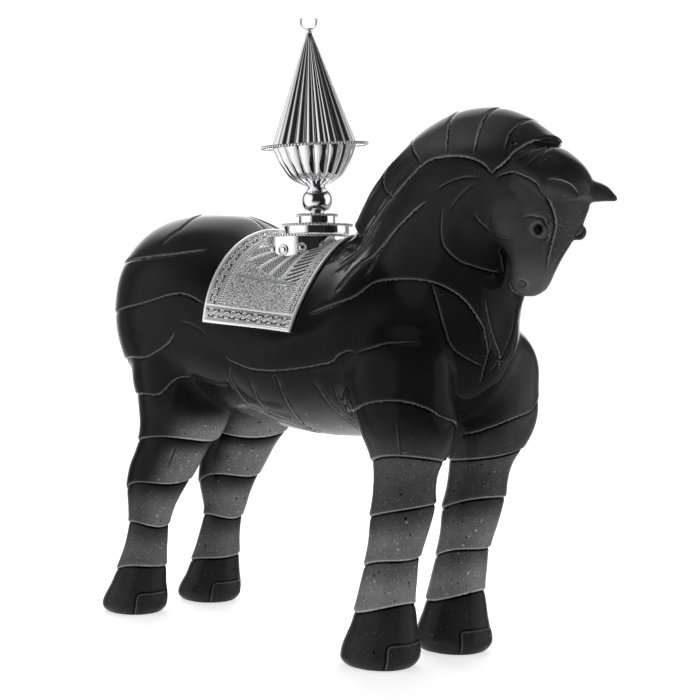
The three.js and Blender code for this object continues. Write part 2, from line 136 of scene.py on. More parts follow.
def make_mesh(name, points, quads, triangles=None):
    """A mesh from an array of points in metres and arrays of four- and three-sided faces."""
    triangles = np.empty((0, 3), int) if triangles is None else triangles
    mesh = bpy.data.meshes.new(name)
    loops = np.concatenate([quads.ravel(), triangles.ravel()])
    sizes = np.concatenate([np.full(len(quads), 4), np.full(len(triangles), 3)])
    mesh.vertices.add(len(points))
    mesh.vertices.foreach_set("co", points.astype(np.float32).ravel())
    mesh.loops.add(len(loops))
    mesh.loops.foreach_set("vertex_index", loops.astype(np.int32))
    mesh.polygons.add(len(sizes))
    starts = np.concatenate([[0], np.cumsum(sizes)[:-1]])
    mesh.polygons.foreach_set("loop_start", starts.astype(np.int32))
    mesh.update(calc_edges=True)
    mesh.polygons.foreach_set("use_smooth", np.ones(len(sizes), bool))
    return mesh


def face_outward(mesh):
    """Turns the faces of a closed mesh so that their normals point out of it."""
    build = bmesh.new()
    build.from_mesh(mesh)
    bmesh.ops.recalc_face_normals(build, faces=build.faces)
    build.to_mesh(mesh)
    build.free()


def make_object(name, mesh):
    """An object at the origin, unturned, that holds the mesh."""
    obj = bpy.data.objects.new(name, mesh)
    bpy.context.scene.collection.objects.link(obj)
    return obj


def read_points(mesh):
    """All vertices of a mesh as an array of rows."""
    points = np.empty(len(mesh.vertices) * 3, np.float32)
    mesh.vertices.foreach_get("co", points)
    return points.reshape(-1, 3).astype(float)


def read_normals(mesh):
    """The normals of all vertices as an array of rows."""
    normals = np.empty(len(mesh.vertices) * 3, np.float32)
    mesh.vertex_normals.foreach_get("vector", normals)
    return normals.reshape(-1, 3).astype(float)


def evaluated(obj):
    """A plain copy of the object's mesh with its modifiers worked in."""
    graph = bpy.context.evaluated_depsgraph_get()
    graph.update()
    return bpy.data.meshes.new_from_object(obj.evaluated_get(graph))


def thinned(name, mesh, budget):
    """A copy of a mesh of quads, thinned out to about `budget` triangles."""
    full = make_object(name + "_full", mesh)
    full.modifiers.new("thin", "DECIMATE").ratio = budget / (2 * len(mesh.polygons))
    thin = evaluated(full)
    bpy.data.objects.remove(full)
    thin.name = name
    return thin


def store(mesh, name, values):
    """Keeps one float per vertex on the mesh, where a material can read it."""
    mesh.attributes.new(name, "FLOAT", "POINT").data.foreach_set("value", values.astype(np.float32))


# %% [markdown]
# The horse is a few full masses that were cast as one piece. Each mass is a loft here: a
# row of closed sections whose places and sizes run smoothly through a short table. The CAD
# solid has tables like these, so the two have one form.

# %% Smooth tables and lofts


def sample(table, at):
    """Columns of a table at the values `at`: a cubic through every row, whose slope at a row
    is that of the chord between its two neighbours."""
    table = np.asarray(table, float)
    at = np.asarray(at, float)
    t = table[:, 0]
    last = len(t) - 1
    before = np.maximum(np.arange(last + 1) - 1, 0)
    behind = np.minimum(np.arange(last + 1) + 1, last)
    slopes = (table[behind] - table[before]) / (t[behind] - t[before])[:, None]
    i = np.clip(np.searchsorted(t, at, side="left") - 1, 0, last - 1)
    span = (t[i + 1] - t[i])[:, None]
    u = (at - t[i])[:, None] / span
    start = (1 + 2 * u) * (1 - u) ** 2 * table[i] + u * (1 - u) ** 2 * span * slopes[i]
    finish = u ** 2 * (3 - 2 * u) * table[i + 1] + u ** 2 * (u - 1) * span * slopes[i + 1]
    return start + finish


def sections(high, low, half, side=0.0, power=2.0, egg=0.0, count=96):
    """Closed sections, one row each. A section spans from the side-view point `low` to `high`
    and `half` to each side: out = half * cos(a), rise = reach * sin(a), both to the power
    2 / power, and `egg` narrows it towards `high`."""
    high, low = np.asarray(high, float), np.asarray(low, float)
    angle = 2 * np.pi * (np.arange(count) + 0.5) / count
    power = np.broadcast_to(power, len(high))[:, None]
    egg = np.broadcast_to(egg, len(high))[:, None]
    cosine = np.sign(np.cos(angle)) * np.abs(np.cos(angle)) ** (2 / power)
    sine = np.sign(np.sin(angle)) * np.abs(np.sin(angle)) ** (2 / power)
    centre, arm = (high + low) / 2, (high - low) / 2
    out = np.asarray(half)[:, None] * cosine * (1 - egg * np.sin(angle))
    s = centre[:, :1] + arm[:, :1] * sine
    h = centre[:, 1:] + arm[:, 1:] * sine
    return np.stack([s, np.asarray(side).reshape(-1, 1) + out, h], -1)


def smoothstep(low, high, value):
    """0 below low, 1 above high, and an S-shaped run between them; low may be the larger one."""
    u = np.clip((np.asarray(value, float) - low) / (high - low), 0, 1)
    return u * u * (3 - 2 * u)


def loft_mesh(name, rings):
    """A closed mesh through rows of rings in parts."""
    points, quads, triangles = closed_grid(rings)
    return make_mesh(name, to_row(points), quads, triangles)


# %% [markdown]
# Body and neck: a barrel that is full at the rump, dips under the saddle and runs into a
# roof-shaped withers, and a huge arched neck that carries the head almost upright.

# %% Torso, neck, head and mane tables
TORSO = [   # s, top h, bottom h, half width, squareness, egg
    (-458, 690, 610, 45, 2.0, 0.00), (-444, 745, 550, 90, 2.1, 0.00), (-408, 795, 490, 138, 2.2, 0.00),
    (-350, 830, 448, 170, 2.2, 0.02), (-280, 843, 432, 185, 2.2, 0.03),
    (-200, 841, 436, 189, 2.2, 0.04), (-120, 827, 430, 189, 2.1, 0.05), (-45, 795, 418, 190, 2.1, 0.07),
    (5, 777, 410, 192, 1.97, 0.12), (60, 770, 403, 193, 1.87, 0.22), (130, 771, 398, 195, 1.72, 0.27),
    (200, 786, 400, 197, 1.65, 0.28), (260, 796, 404, 197, 1.7, 0.26), (320, 800, 415, 194, 1.85, 0.20),
    (390, 785, 430, 172, 2.0, 0.14), (450, 755, 460, 138, 2.0, 0.10), (505, 710, 505, 90, 2.0, 0.05),
    (538, 660, 560, 45, 2.0, 0.00),
]
NECK = [    # step, crest s and h, throat s and h, half width, egg
    (0, 180, 772, 440, 470, 122, 0.42), (1, 225, 838, 495, 530, 132, 0.36),
    (2, 286, 901, 522, 585, 128, 0.28), (3, 357, 958, 540, 640, 116, 0.25),
    (4, 440, 995, 548, 700, 104, 0.24), (5, 531, 996, 560, 745, 94, 0.20),
    (6, 600, 968, 585, 780, 82, 0.12), (7, 645, 925, 610, 810, 62, 0.05),
]
HEAD = [    # step, face s and h, jaw s and h, half width, squareness
    (0, 640, 925, 560, 880, 50, 2.2), (1, 680, 899, 547, 842, 65, 2.3),
    (2, 702, 865, 543, 806, 72, 2.4), (3, 706, 830, 549, 776, 72, 2.5),
    (4, 694, 796, 561, 753, 66, 2.5), (5, 675, 763, 573, 737, 56, 2.4),
    (6, 656, 733, 576, 721, 47, 2.3), (7, 643, 709, 572, 705, 42, 2.2),
    (8, 632, 690, 567, 690, 40, 2.2), (9, 618, 673, 573, 676, 34, 2.1),
    (10, 606, 665, 588, 667, 16, 2.0),
]
MANE = [    # step, crest s and h, lower edge s and h, half width
    (0, 206, 812, 262, 776, 72), (1, 256, 878, 312, 824, 82), (2, 322, 938, 366, 868, 82),
    (3, 389, 980, 420, 898, 84), (4, 461, 1001, 468, 912, 84), (5, 531, 1000, 512, 906, 82),
    (6, 594, 979, 552, 890, 78), (7, 655, 938, 584, 872, 72),
]
FORELOCK = [    # step, outer s and h, inner s and h, half width
    (0, 640, 930, 560, 880, 66), (1, 672, 915, 590, 850, 72), (2, 700, 890, 620, 830, 72),
    (3, 718, 858, 650, 812, 62), (4, 722, 836, 672, 808, 42),
]


def torso_rings():
    """Rows crowd towards both rounded ends: s follows minus the cosine of half a turn."""
    first, final = TORSO[0][0], TORSO[-1][0]
    s = first + (final - first) * (1 - np.cos(np.linspace(0, np.pi, 150))) / 2
    row = sample(TORSO, s)
    high, low = np.stack([s, row[:, 1]], -1), np.stack([s, row[:, 2]], -1)
    return sections(high, low, row[:, 3], power=row[:, 4], egg=row[:, 5], count=160)


def table_rings(table, rows, power_column=None, egg_column=None):
    """Rings through a table of front and back points, half width and shape."""
    row = sample(table, np.linspace(0, table[-1][0], rows))
    power = 2.0 if power_column is None else row[:, power_column]
    egg = 0.0 if egg_column is None else row[:, egg_column]
    return sections(row[:, 1:3], row[:, 3:5], row[:, 5], power=power, egg=egg)


def mane_rings():
    """The widest point is the band's lower edge, and as much again lies inside the neck."""
    row = sample(MANE, np.linspace(0, MANE[-1][0], 90))
    crest, edge = row[:, 1:3], row[:, 3:5]
    return sections(crest, 2 * edge - crest, row[:, 5])


# %% [markdown]
# The legs are columns that swell at the hoof, knee and forearm. Four joints band each leg,
# and every section tilts a little with the joint next to it.

# %% Leg and ear tables
FRONT_LEG = [   # h, s, l, half size seen from the front quarter, tilt
    (0, 335, 100, 57, 0.00), (6, 335, 100, 63.5, 0.01), (14, 336, 100, 68, 0.02),
    (24, 337, 99, 69, 0.04), (38, 337, 98, 67, 0.07), (60, 339, 97, 61.5, 0.12),
    (85, 343, 96, 56, 0.18), (110, 345, 96, 52, 0.20), (150, 354, 96, 49.5, 0.16),
    (190, 363, 96, 47, 0.12), (235, 378, 96, 51, 0.16), (280, 389, 96, 55.5, 0.20),
    (320, 396, 99, 53.5, 0.08), (360, 403, 101, 56.5, -0.04), (390, 409, 103, 68, -0.06),
    (420, 413, 109, 79, -0.04), (460, 414, 112, 86, 0.00), (510, 408, 112, 84, 0.00),
    (560, 396, 106, 70, 0.00),
]
HIND_LEG = [
    (0, -390, 103, 55, 0.00), (6, -390, 103, 61.5, 0.01), (14, -388, 103, 66, 0.02),
    (24, -386, 103, 66.5, 0.03), (38, -382, 103, 64, 0.05), (60, -375, 103, 57.5, 0.08),
    (85, -368, 102, 52.5, 0.10), (110, -361, 102, 48.5, 0.10), (150, -350, 101, 43.5, 0.10),
    (185, -341, 102, 41.5, 0.10), (210, -333, 103, 44.5, 0.10), (235, -328, 101, 50.5, 0.10),
    (270, -319, 98, 60.5, 0.05), (310, -299, 96, 69, 0.00), (350, -272, 95, 72.5, 0.00),
    (385, -247, 92, 82, 0.00), (420, -236, 90, 90, 0.00), (470, -232, 88, 98, 0.00),
    (530, -236, 84, 92, 0.00),
]
EAR = [(0, 660, 46, 842, 20), (1, 690, 48, 846, 23), (2, 722, 50, 841, 17), (3, 746, 51, 830, 5)]
VIEW_DEPTH, VIEW_WIDTH = 0.679, 0.734   # shares of a leg's depth and width in the quarter view
LEG_STRETCH = 1.12                      # depth of a leg's section over its width
LEG_FULLNESS = 1.02                     # rubbing takes this much off again
LEG_SQUARENESS = 2.15
EAR_FLATNESS = 0.85                     # height of an ear's section over its width
SIDES = (-1, 1)


def leg_rings(table, side, top=None):
    """Level sections up the leg to `top`, tilted about their middles by the last column."""
    h = np.linspace(0, top or table[-1][0], 150)
    row = sample(table, h)
    across = LEG_FULLNESS * row[:, 3] / math.hypot(VIEW_DEPTH * LEG_STRETCH, VIEW_WIDTH)
    along = across * LEG_STRETCH
    high = np.stack([row[:, 1] + along, h + row[:, 4] * along], -1)
    low = np.stack([row[:, 1] - along, h - row[:, 4] * along], -1)
    return sections(high, low, across, side=side * row[:, 2], power=LEG_SQUARENESS)


def ear_rings(side):
    """A short leaf that points forward, a little flatter than wide."""
    row = sample(EAR, np.linspace(0, EAR[-1][0], 24))
    s, l, h, half = row[:, 1], row[:, 2], row[:, 3], row[:, 4]
    high = np.stack([s, h + EAR_FLATNESS * half], -1)
    low = np.stack([s, h - EAR_FLATNESS * half], -1)
    return sections(high, low, half, side=side * l, count=32)


def ball_mesh(name, form, side, rows=40, count=64):
    """An ellipsoid on one side of the horse. `form` is its middle and its half sizes in parts."""
    (s, l, h), radii = form
    down = np.linspace(0.02, np.pi - 0.02, rows)[:, None]
    turn = 2 * np.pi * np.arange(count) / count
    unit = np.broadcast_arrays(np.sin(down) * np.cos(turn), np.sin(down) * np.sin(turn), np.cos(down))
    return loft_mesh(name, np.stack(unit, -1) * radii + [s, side * l, h])


# %% [markdown]
# The masses are joined and the seams between them rubbed away. Blender's voxel remesh does
# the joining: it keeps only the outside skin of all the lofts. Rounds of averaging with the
# neighbours then rub the seams away. Body, neck and legs are joined on a coarse grid and
# rubbed in many rounds, which spare the lower legs. Head, mane, ears and, once more, the lower
# legs come to them on a fine grid and are rubbed in a few.

# %% Join the masses
COARSE, FINE = 2.6 * MM, 0.9 * MM       # cells of the two grids
BROAD_ROUNDS, MANE_ROUNDS, FINE_ROUNDS = 200, 50, 12
LEG_JOIN = 330                          # h up to which the legs are joined on the fine grid
SHOULDER = (398, 118, 520), (112, 82, 110)
HAUNCH = (-240, 96, 520), (122, 88, 125)
CHEEK = (606, 40, 808), (62, 42, 58)
EYEBALL = (667, 49, 777), (15, 13, 15)


def joined_skin(name, meshes, voxel):
    """One watertight skin around all the closed meshes, on a grid of cells `voxel` wide."""
    build = bmesh.new()
    for mesh in meshes:
        build.from_mesh(mesh)
        bpy.data.meshes.remove(mesh)
    lump = bpy.data.meshes.new(name)
    build.to_mesh(lump)
    build.free()
    face_outward(lump)
    obj = make_object(name, lump)
    remesh = obj.modifiers.new("remesh", "REMESH")
    remesh.mode = "VOXEL"
    remesh.voxel_size = voxel
    skin = evaluated(obj)
    bpy.data.objects.remove(obj)
    return skin


def read_edges(mesh):
    """Pairs of vertex numbers, one row an edge."""
    edges = np.empty(len(mesh.edges) * 2, np.int32)
    mesh.edges.foreach_get("vertices", edges)
    return edges.reshape(-1, 2)


def averaged(values, edges):
    """The mean of each vertex's neighbours, for rows of values."""
    start, end = edges[:, 0], edges[:, 1]
    count = len(values)
    degree = np.bincount(start, minlength=count) + np.bincount(end, minlength=count)
    total = [np.bincount(start, column[end], count) + np.bincount(end, column[start], count)
             for column in values.T]
    return np.stack(total, -1) / degree[:, None]


def rub(mesh, weight, rounds):
    """Smooths a mesh in place. Each round pulls a vertex half of `weight` towards the mean of
    its neighbours and then pushes it back a little more, so bumps go and the volume stays."""
    points, edges = read_points(mesh), read_edges(mesh)
    for step in range(2 * rounds):
        pull = 0.5 if step % 2 == 0 else -0.51
        points = points + pull * weight[:, None] * (averaged(points, edges) - points)
    mesh.vertices.foreach_set("co", points.astype(np.float32).ravel())
    mesh.update()


broad = [loft_mesh("torso", torso_rings()), loft_mesh("neck", table_rings(NECK, 110, egg_column=6))]
for side in SIDES:
    broad.append(loft_mesh("foreleg", leg_rings(FRONT_LEG, side)))
    broad.append(loft_mesh("hind_leg", leg_rings(HIND_LEG, side)))
    broad.append(ball_mesh("shoulder", SHOULDER, side))
    broad.append(ball_mesh("haunch", HAUNCH, side))
body = joined_skin("body", broad, COARSE)
h = to_parts(read_points(body))[:, 2]
rub(body, 0.15 + 0.85 * np.clip((h - LEG_JOIN) / 60, 0, 1), BROAD_ROUNDS)
body_object = make_object("body", body)
body_object.modifiers.new("rounder", "SUBSURF").levels = 2
body = evaluated(body_object)
bpy.data.objects.remove(body_object)

masses = [body, loft_mesh("head", table_rings(HEAD, 90, power_column=6))]
masses += [loft_mesh("mane", mane_rings()), loft_mesh("forelock", table_rings(FORELOCK, 50))]
for side in SIDES:
    masses.append(loft_mesh("foreleg", leg_rings(FRONT_LEG, side, LEG_JOIN)))
    masses.append(loft_mesh("hind_leg", leg_rings(HIND_LEG, side, LEG_JOIN)))
    masses.append(loft_mesh("ear", ear_rings(side)))
    masses.append(ball_mesh("cheek", CHEEK, side))
    masses.append(ball_mesh("eye", EYEBALL, side))
horse_skin = joined_skin("horse_skin", masses, FINE)
s, l, h = to_parts(read_points(horse_skin)).T
around_eyes = (s > 640) & (np.abs(l) > 36)
rub(horse_skin, np.where(around_eyes, 0.4, 1.0), FINE_ROUNDS)
mane_ends = ((s < 330) & (h > 740)) | ((s > 600) & (h > 880))
rub(horse_skin, mane_ends * 1.0, MANE_ROUNDS)
horse_points = read_points(horse_skin)
print(f"the joined skin has {len(horse_skin.vertices)} vertices")
print("box of the smoothed horse in mm", (np.ptp(horse_points, axis=0) / MM).round(1))

# %% [markdown]
# Joints cut the horse into plates, like scales of armour. Each joint is a line drawn on the
# skin, given here as points (s, out, h) for one side and mirrored to the other. Across it,
# the upper plate swells towards the joint, a narrow cut follows, and the lower plate starts
# a little deeper.

# %% Lines of the joints
# name: cut and lip in mm, points from one end to the other in parts
JOINTS = {
    "rump upper": (1.0, 0.5, [(-452, 0, 722), (-420, 96, 728), (-308, 153, 744), (-213, 158, 749),
        (-164, 149, 751), (-105, 134, 757)]),
    "rump middle": (1.0, 0.6, [(-458, 0, 622), (-432, 96, 626), (-344, 168, 640), (-247, 179, 653),
        (-150, 184, 671), (-105, 183, 667), (-58, 184, 650)]),
    "rump short": (0.5, 0.3, [(-132, 186, 618), (-100, 186, 613), (-72, 187, 605), (-40, 187, 590)]),
    "haunch hook": (1.0, 0.6, [(-456, 0, 545), (-440, 60, 543), (-320, 157, 541), (-251, 176, 542),
        (-210, 175, 557), (-167, 183, 576), (-143, 187, 597)]),
    "haunch wave": (1.0, 0.7, [(-408, 20, 470), (-360, 110, 466), (-258, 178, 467), (-205, 179, 470),
        (-168, 157, 503), (-116, 153, 505), (-47, 164, 500), (4, 170, 502)]),
    "croup fold": (0.9, 0.4, [(-240, 145, 768), (-232, 127, 787), (-218, 109, 806), (-226, 65, 827),
        (-232, 40, 833)]),
    "croup seam": (0.9, 0.3, [(-160, 10, 830), (-118, 8, 817), (-70, 20, 803), (-50, 30, 797)]),
    "flank": (0.9, 0.5, [(12, 184, 552), (35, 188, 542), (90, 184, 532), (150, 187, 530), (229, 192, 536),
        (306, 188, 549), (324, 189, 561), (345, 184, 568), (362, 182, 566)]),
    "flank front": (0.6, 0.3, [(362, 181, 562), (400, 185, 573), (431, 177, 581), (455, 167, 584),
        (478, 145, 584)]),
    "belly rear": (0.8, 0.5, [(30, 184, 536), (20, 177, 514), (24, 163, 485), (30, 141, 462),
        (58, 127, 447), (90, 105, 431), (150, 60, 411)]),
    "rib first": (0.7, 0.4, [(82, 182, 518), (84, 173, 489), (78, 151, 468), (88, 134, 452),
        (112, 118, 438), (140, 90, 424)]),
    "rib second": (0.8, 0.5, [(166, 187, 532), (164, 184, 511), (161, 172, 485), (147, 131, 446),
        (124, 68, 415), (112, 20, 405)]),
    "rib third": (0.8, 0.5, [(250, 185, 522), (262, 179, 500), (264, 152, 475), (271, 108, 439),
        (262, 50, 418)]),
    "elbow": (0.6, 0.4, [(302, 178, 512), (297, 164, 494), (290, 138, 464), (284, 118, 446)]),
    "shoulder": (0.9, 0.8, [(226, 178, 632), (257, 174, 641), (332, 167, 659), (375, 139, 688),
        (435, 131, 695), (487, 113, 687), (516, 82, 663), (533, 52, 621), (538, 44, 598), (534, 34, 560)]),
    "shoulder inner": (0.6, 0.4, [(476, 114, 690), (486, 112, 656), (492, 100, 610), (499, 89, 576),
        (512, 62, 556), (520, 30, 542)]),
    "breast": (0.9, 0.4, [(538, -47, 665), (540, -37, 627), (540, -26, 597), (538, -9, 568), (530, 3, 546),
        (519, 10, 532)]),
    "breast foot": (0.6, 0.4, [(540, 28, 590), (528, 29, 556), (516, 25, 529), (505, 20, 510)]),
    "forearm": (0.9, 0.7, [(280, 112, 448), (300, 140, 455), (358, 177, 465), (396, 191, 477),
        (440, 189, 484), (475, 173, 482), (495, 145, 470), (503, 122, 456), (499, 85, 446), (477, 54, 431),
        (451, 40, 420), (415, 34, 412)]),
    "withers first": (0.9, 0.4, [(244, 124, 708), (272, 107, 729), (299, 98, 747), (326, 105, 762)]),
    "withers second": (0.8, 0.3, [(238, 109, 722), (273, 92, 744), (311, 96, 769), (341, 96, 806)]),
    "withers third": (1.1, 0.6, [(286, 156, 672), (300, 140, 698), (317, 122, 722), (360, 118, 754),
        (406, 115, 794), (437, 110, 819), (462, 107, 832)]),
    "withers fourth": (0.8, 0.3, [(345, 148, 694), (351, 119, 735), (379, 118, 770)]),
    "mane edge": (1.0, 0.7, [(270, 88, 760), (300, 92, 788), (338, 91, 821), (371, 89, 853), (402, 85, 880),
        (428, 81, 898), (461, 82, 908), (519, 84, 907), (562, 83, 894), (588, 81, 872)]),
    "poll": (1.3, 0.6, [(586, 83, 868), (590, 79, 878), (604, 74, 890), (620, 58, 911), (636, 40, 926),
        (648, 18, 933), (650, 0, 933)]),
    "cheek plate": (0.8, 0.5, [(592, 82, 864), (607, 75, 873), (626, 71, 874), (645, 70, 868),
        (666, 68, 858), (681, 64, 840), (686, 50, 818), (683, 34, 788), (670, 25, 761), (655, 16, 735),
        (645, 10, 715)]),
    "jowl": (0.6, 0.5, [(496, 108, 822), (494, 110, 790), (497, 108, 758), (509, 103, 739), (522, 91, 725),
        (537, 69, 716), (545, 40, 709), (549, 9, 706)]),
    "cheek rim": (0.5, 0.4, [(550, 90, 815), (554, 84, 798), (564, 62, 780), (588, 63, 768),
        (613, 62, 765)]),
    "jaw": (0.6, 0.2, [(586, 57, 764), (572, 40, 750), (557, 20, 735), (549, 6, 708)]),
    "neck crease": (0.5, 0.2, [(470, 107, 848), (500, 100, 862), (536, 94, 870), (565, 88, 868)]),
    "neck fold": (0.4, 0.2, [(508, 100, 812), (522, 96, 832), (545, 92, 852), (562, 88, 860)]),
    "mane first": (0.7, 0.3, [(306, 40, 905), (322, 69, 872), (337, 79, 856), (363, 91, 841)]),
    "mane second": (0.8, 0.3, [(372, 30, 962), (384, 60, 938), (413, 81, 913), (427, 80, 899)]),
    "mane third": (0.9, 0.3, [(458, 0, 1000), (463, 30, 991), (470, 57, 971), (480, 76, 944),
        (484, 80, 914)]),
    "mane fourth": (1.1, 0.4, [(540, 0, 996), (541, 35, 982), (542, 57, 960), (543, 71, 934),
        (547, 80, 908)]),
    "mane fifth": (0.8, 0.3, [(608, 0, 972), (606, 20, 966), (602, 38, 954), (600, 55, 938),
        (601, 66, 912)]),
    "hair first": (0.6, 0.2, [(652, 14, 922), (662, 36, 910), (658, 58, 894), (650, 70, 880)]),
    "hair second": (0.6, 0.2, [(676, 24, 902), (675, 44, 894), (670, 60, 884)]),
    "hair third": (0.5, 0.2, [(650, 34, 920), (640, 56, 903), (626, 68, 892)]),
    "mouth": (0.6, 0.2, [(583, 37, 696), (590, 36, 684), (596, 28, 672), (600, 10, 664)]),
    "chin": (0.5, 0.2, [(552, 12, 716), (556, 28, 706), (564, 36, 698), (577, 37, 700)]),
    "nostril": (0.7, 0.3, [(606, 34, 690), (612, 36, 694), (619, 33, 690), (620, 30, 682), (613, 33, 678)]),
    "brow": (0.5, 0.5, [(640, 68, 798), (660, 64, 800), (680, 58, 792), (684, 44, 776), (672, 36, 762),
        (656, 40, 754)]),
    "knee plate near": (0.4, 0.1, [(454, 180, 462), (458, 180, 444), (453, 170, 417), (447, 161, 392)]),
    "gaskin plate": (0.4, 0.1, [(-198, 143, 366), (-218, 140, 340), (-239, 136, 312)]),
}

# Waves of the closed joints round the legs: mean height, then the shares of cosine, sine,
# double cosine and double sine of the bearing from the leg's front towards its outer side
FRONT_BANDS = [(102.6, 11.8, 1.3, 2.7, 0.2), (188.5, 12.2, 0.1, -3.3, -1.0),
               (281.6, 15.4, -1.1, -1.0, -1.2), (372.6, 8.4, 9.9, -2.0, 1.2)]
HIND_BANDS = [(95.0, 9.1, 2.3, -2.8, 0.9), (190.0, -0.2, 1.2, -4.5, -0.2),
              (273.0, 15.4, -0.4, -8.4, -1.9), (374.6, 2.0, 0.2, -4.4, 4.7)]
CUT_HALF = 0.75        # mm: half width of a cut
SWELL = 6.0            # mm over which the upper plate rises towards its lip
DIP = 4.0              # mm over which the lower plate dips
REACH = 16.0           # mm: further away than this a joint has no say


def cut_profile(across, cut, lip):
    """Height over the skin in mm at `across` mm from a joint, positive on the upper plate."""
    notch = -cut * np.exp(-(across / CUT_HALF) ** 2)
    above, below = np.maximum(across, 0), np.maximum(-across, 0)
    swell = lip * (1 - np.exp(-above / CUT_HALF)) * np.exp(-above / SWELL)
    dip = -0.45 * lip * (1 - np.exp(-below / CUT_HALF)) * np.exp(-below / DIP)
    return notch + swell + dip


# %% [markdown]
# To cut a joint, each vertex near the line needs its distance to it and the side on which it
# lies. The line is first laid on the skin: a tree of the skin's faces gives the nearest skin
# point and the normal there. The cross product of line direction and normal points across
# the joint, and its sign tells the upper plate from the lower one.

# %% Cut the joints
skin_build = bmesh.new()
skin_build.from_mesh(horse_skin)
skin_tree = BVHTree.FromBMesh(skin_build)
skin_build.free()


def laid_on_skin(points, side):
    """A smooth line through the points, every point of it moved onto the skin."""
    knots = np.column_stack([np.arange(len(points)), points]).astype(float)
    line = sample(knots, np.linspace(0, len(points) - 1, 10 * (len(points) - 1) + 1))[:, 1:]
    line[:, 1] *= side
    found = [skin_tree.find_nearest(point)[:2] for point in to_row(line).tolist()]
    places, normals = zip(*found)
    return np.array([place[:] for place in places]), np.array([normal[:] for normal in normals])


def to_line(points, line, normals):
    """Distance of every point to the line in mm, signed by the side, and how far along the
    line the nearest place is from the nearer end, also in mm."""
    start, step = line[:-1], np.diff(line, axis=0)
    length = np.linalg.norm(step, axis=1)
    run = np.concatenate([[0], np.cumsum(length)])
    best = np.full(len(points), np.inf)
    signed, from_end = np.zeros(len(points)), np.zeros(len(points))
    for k in range(len(start)):
        away = points - start[k]
        u = np.clip(away @ step[k] / length[k] ** 2, 0, 1)
        off = away - u[:, None] * step[k]
        distance = np.linalg.norm(off, axis=1)
        nearer = distance < best
        across = np.cross(step[k], normals[k])
        best[nearer] = distance[nearer]
        signed[nearer] = (np.sign(off @ across) * distance)[nearer]
        along = run[k] + u * length[k]
        from_end[nearer] = np.minimum(along, run[-1] - along)[nearer]
    return signed / MM, from_end / MM


UPWARD = np.array([0.0, 0.4, 1.0])                 # up and, on steep lines, towards the tail
TAPER = 7.0                                        # mm over which an open joint fades out


def in_reach(signed):
    """1 near a joint and 0 from REACH on."""
    return np.clip(2 - 2 * np.abs(signed) / REACH, 0, 1)


def take_nearer(joint, strength, among, signed, power):
    """Of the vertices `among`, those nearer to this joint than to the last get its values."""
    closer = np.abs(signed) < np.abs(joint[among])
    joint[among[closer]] = signed[closer]
    strength[among[closer]] = power[closer]


def nearest_joint(points):
    """For every point: relief in mm, signed mm to the nearest joint and that joint's strength."""
    relief = np.zeros(len(points))
    joint = np.full(len(points), REACH)
    strength = np.zeros(len(points))
    for cut, lip, knots in JOINTS.values():
        for side in SIDES:
            line, normals = laid_on_skin(knots, side)
            low, high = line.min(axis=0) - REACH * MM, line.max(axis=0) + REACH * MM
            near = np.flatnonzero(((points > low) & (points < high)).all(axis=1))
            signed, from_end = to_line(points[near], line, normals)
            across = np.cross(np.gradient(line, axis=0), normals).sum(axis=0)
            signed *= np.sign(across @ UPWARD) or 1
            power = np.clip(from_end / TAPER, 0, 1) ** 0.7 * in_reach(signed)
            relief[near] += power * cut_profile(signed, cut, lip)
            take_nearer(joint, strength, near, np.where(power > 0, signed, REACH), power * cut)
    return relief, joint, strength


# %% [markdown]
# The leg joints close round the leg, so they need no drawn line. Seen from the leg's own
# axis each one is a height that rises and falls with the bearing, a short Fourier series.
# The toe plate of a hoof is a rounded rectangle on the same unrolled surface.

# %% Bands of the legs and toe plates
LEGS = {"front": (FRONT_LEG, FRONT_BANDS), "hind": (HIND_LEG, HIND_BANDS)}
LEG_TOP = {kind: bands[-1][0] + 75 for kind, (_, bands) in LEGS.items()}    # a leg's last h
LEG_START = 60                                     # s from which a leg is looked for, to both ends
LEG_ROOM = 135                                     # parts from a leg's axis that are still the leg
BAND_CUT, BAND_LIP = 1.1, 0.7
TOE_CUT, TOE_LIP = 0.7, 0.35
TOE_TOP, TOE_HALF = 47, 37                         # height in parts and half width in degrees
TOE_CORNER = 3.0                                   # mm


def on_leg(where, kind, side):
    """Vertices of one leg with their bearing in radians and their distance from its axis."""
    table, top = LEGS[kind][0], LEG_TOP[kind]
    ahead = where[:, 0] if kind == "front" else -where[:, 0]
    mine = np.flatnonzero((where[:, 2] < top) & (where[:, 1] * side > 0) & (ahead > LEG_START))
    s, l, h = where[mine].T
    axis = sample(np.array(table)[:, :3], np.clip(h, 0, top))
    along, out = s - axis[:, 1], l * side - axis[:, 2]
    apart = np.hypot(along, out)
    keep = apart < LEG_ROOM
    return mine[keep], np.arctan2(out, along)[keep], apart[keep], h[keep]


def band_height(band, bearing):
    """Height of a band's joint in parts at a bearing."""
    mean, cos1, sin1, cos2, sin2 = band
    return (mean + cos1 * np.cos(bearing) + sin1 * np.sin(bearing)
            + cos2 * np.cos(2 * bearing) + sin2 * np.sin(2 * bearing))


def to_toe_plate(bearing, apart, h):
    """Signed mm to the outline of the toe plate, a rounded rectangle, positive outside it."""
    sideways = (np.abs(bearing) - math.radians(TOE_HALF)) * apart * PART / MM + TOE_CORNER
    above = (h - TOE_TOP) * PART / MM + TOE_CORNER
    outside = np.hypot(np.maximum(sideways, 0), np.maximum(above, 0))
    return outside + np.minimum(np.maximum(sideways, above), 0) - TOE_CORNER


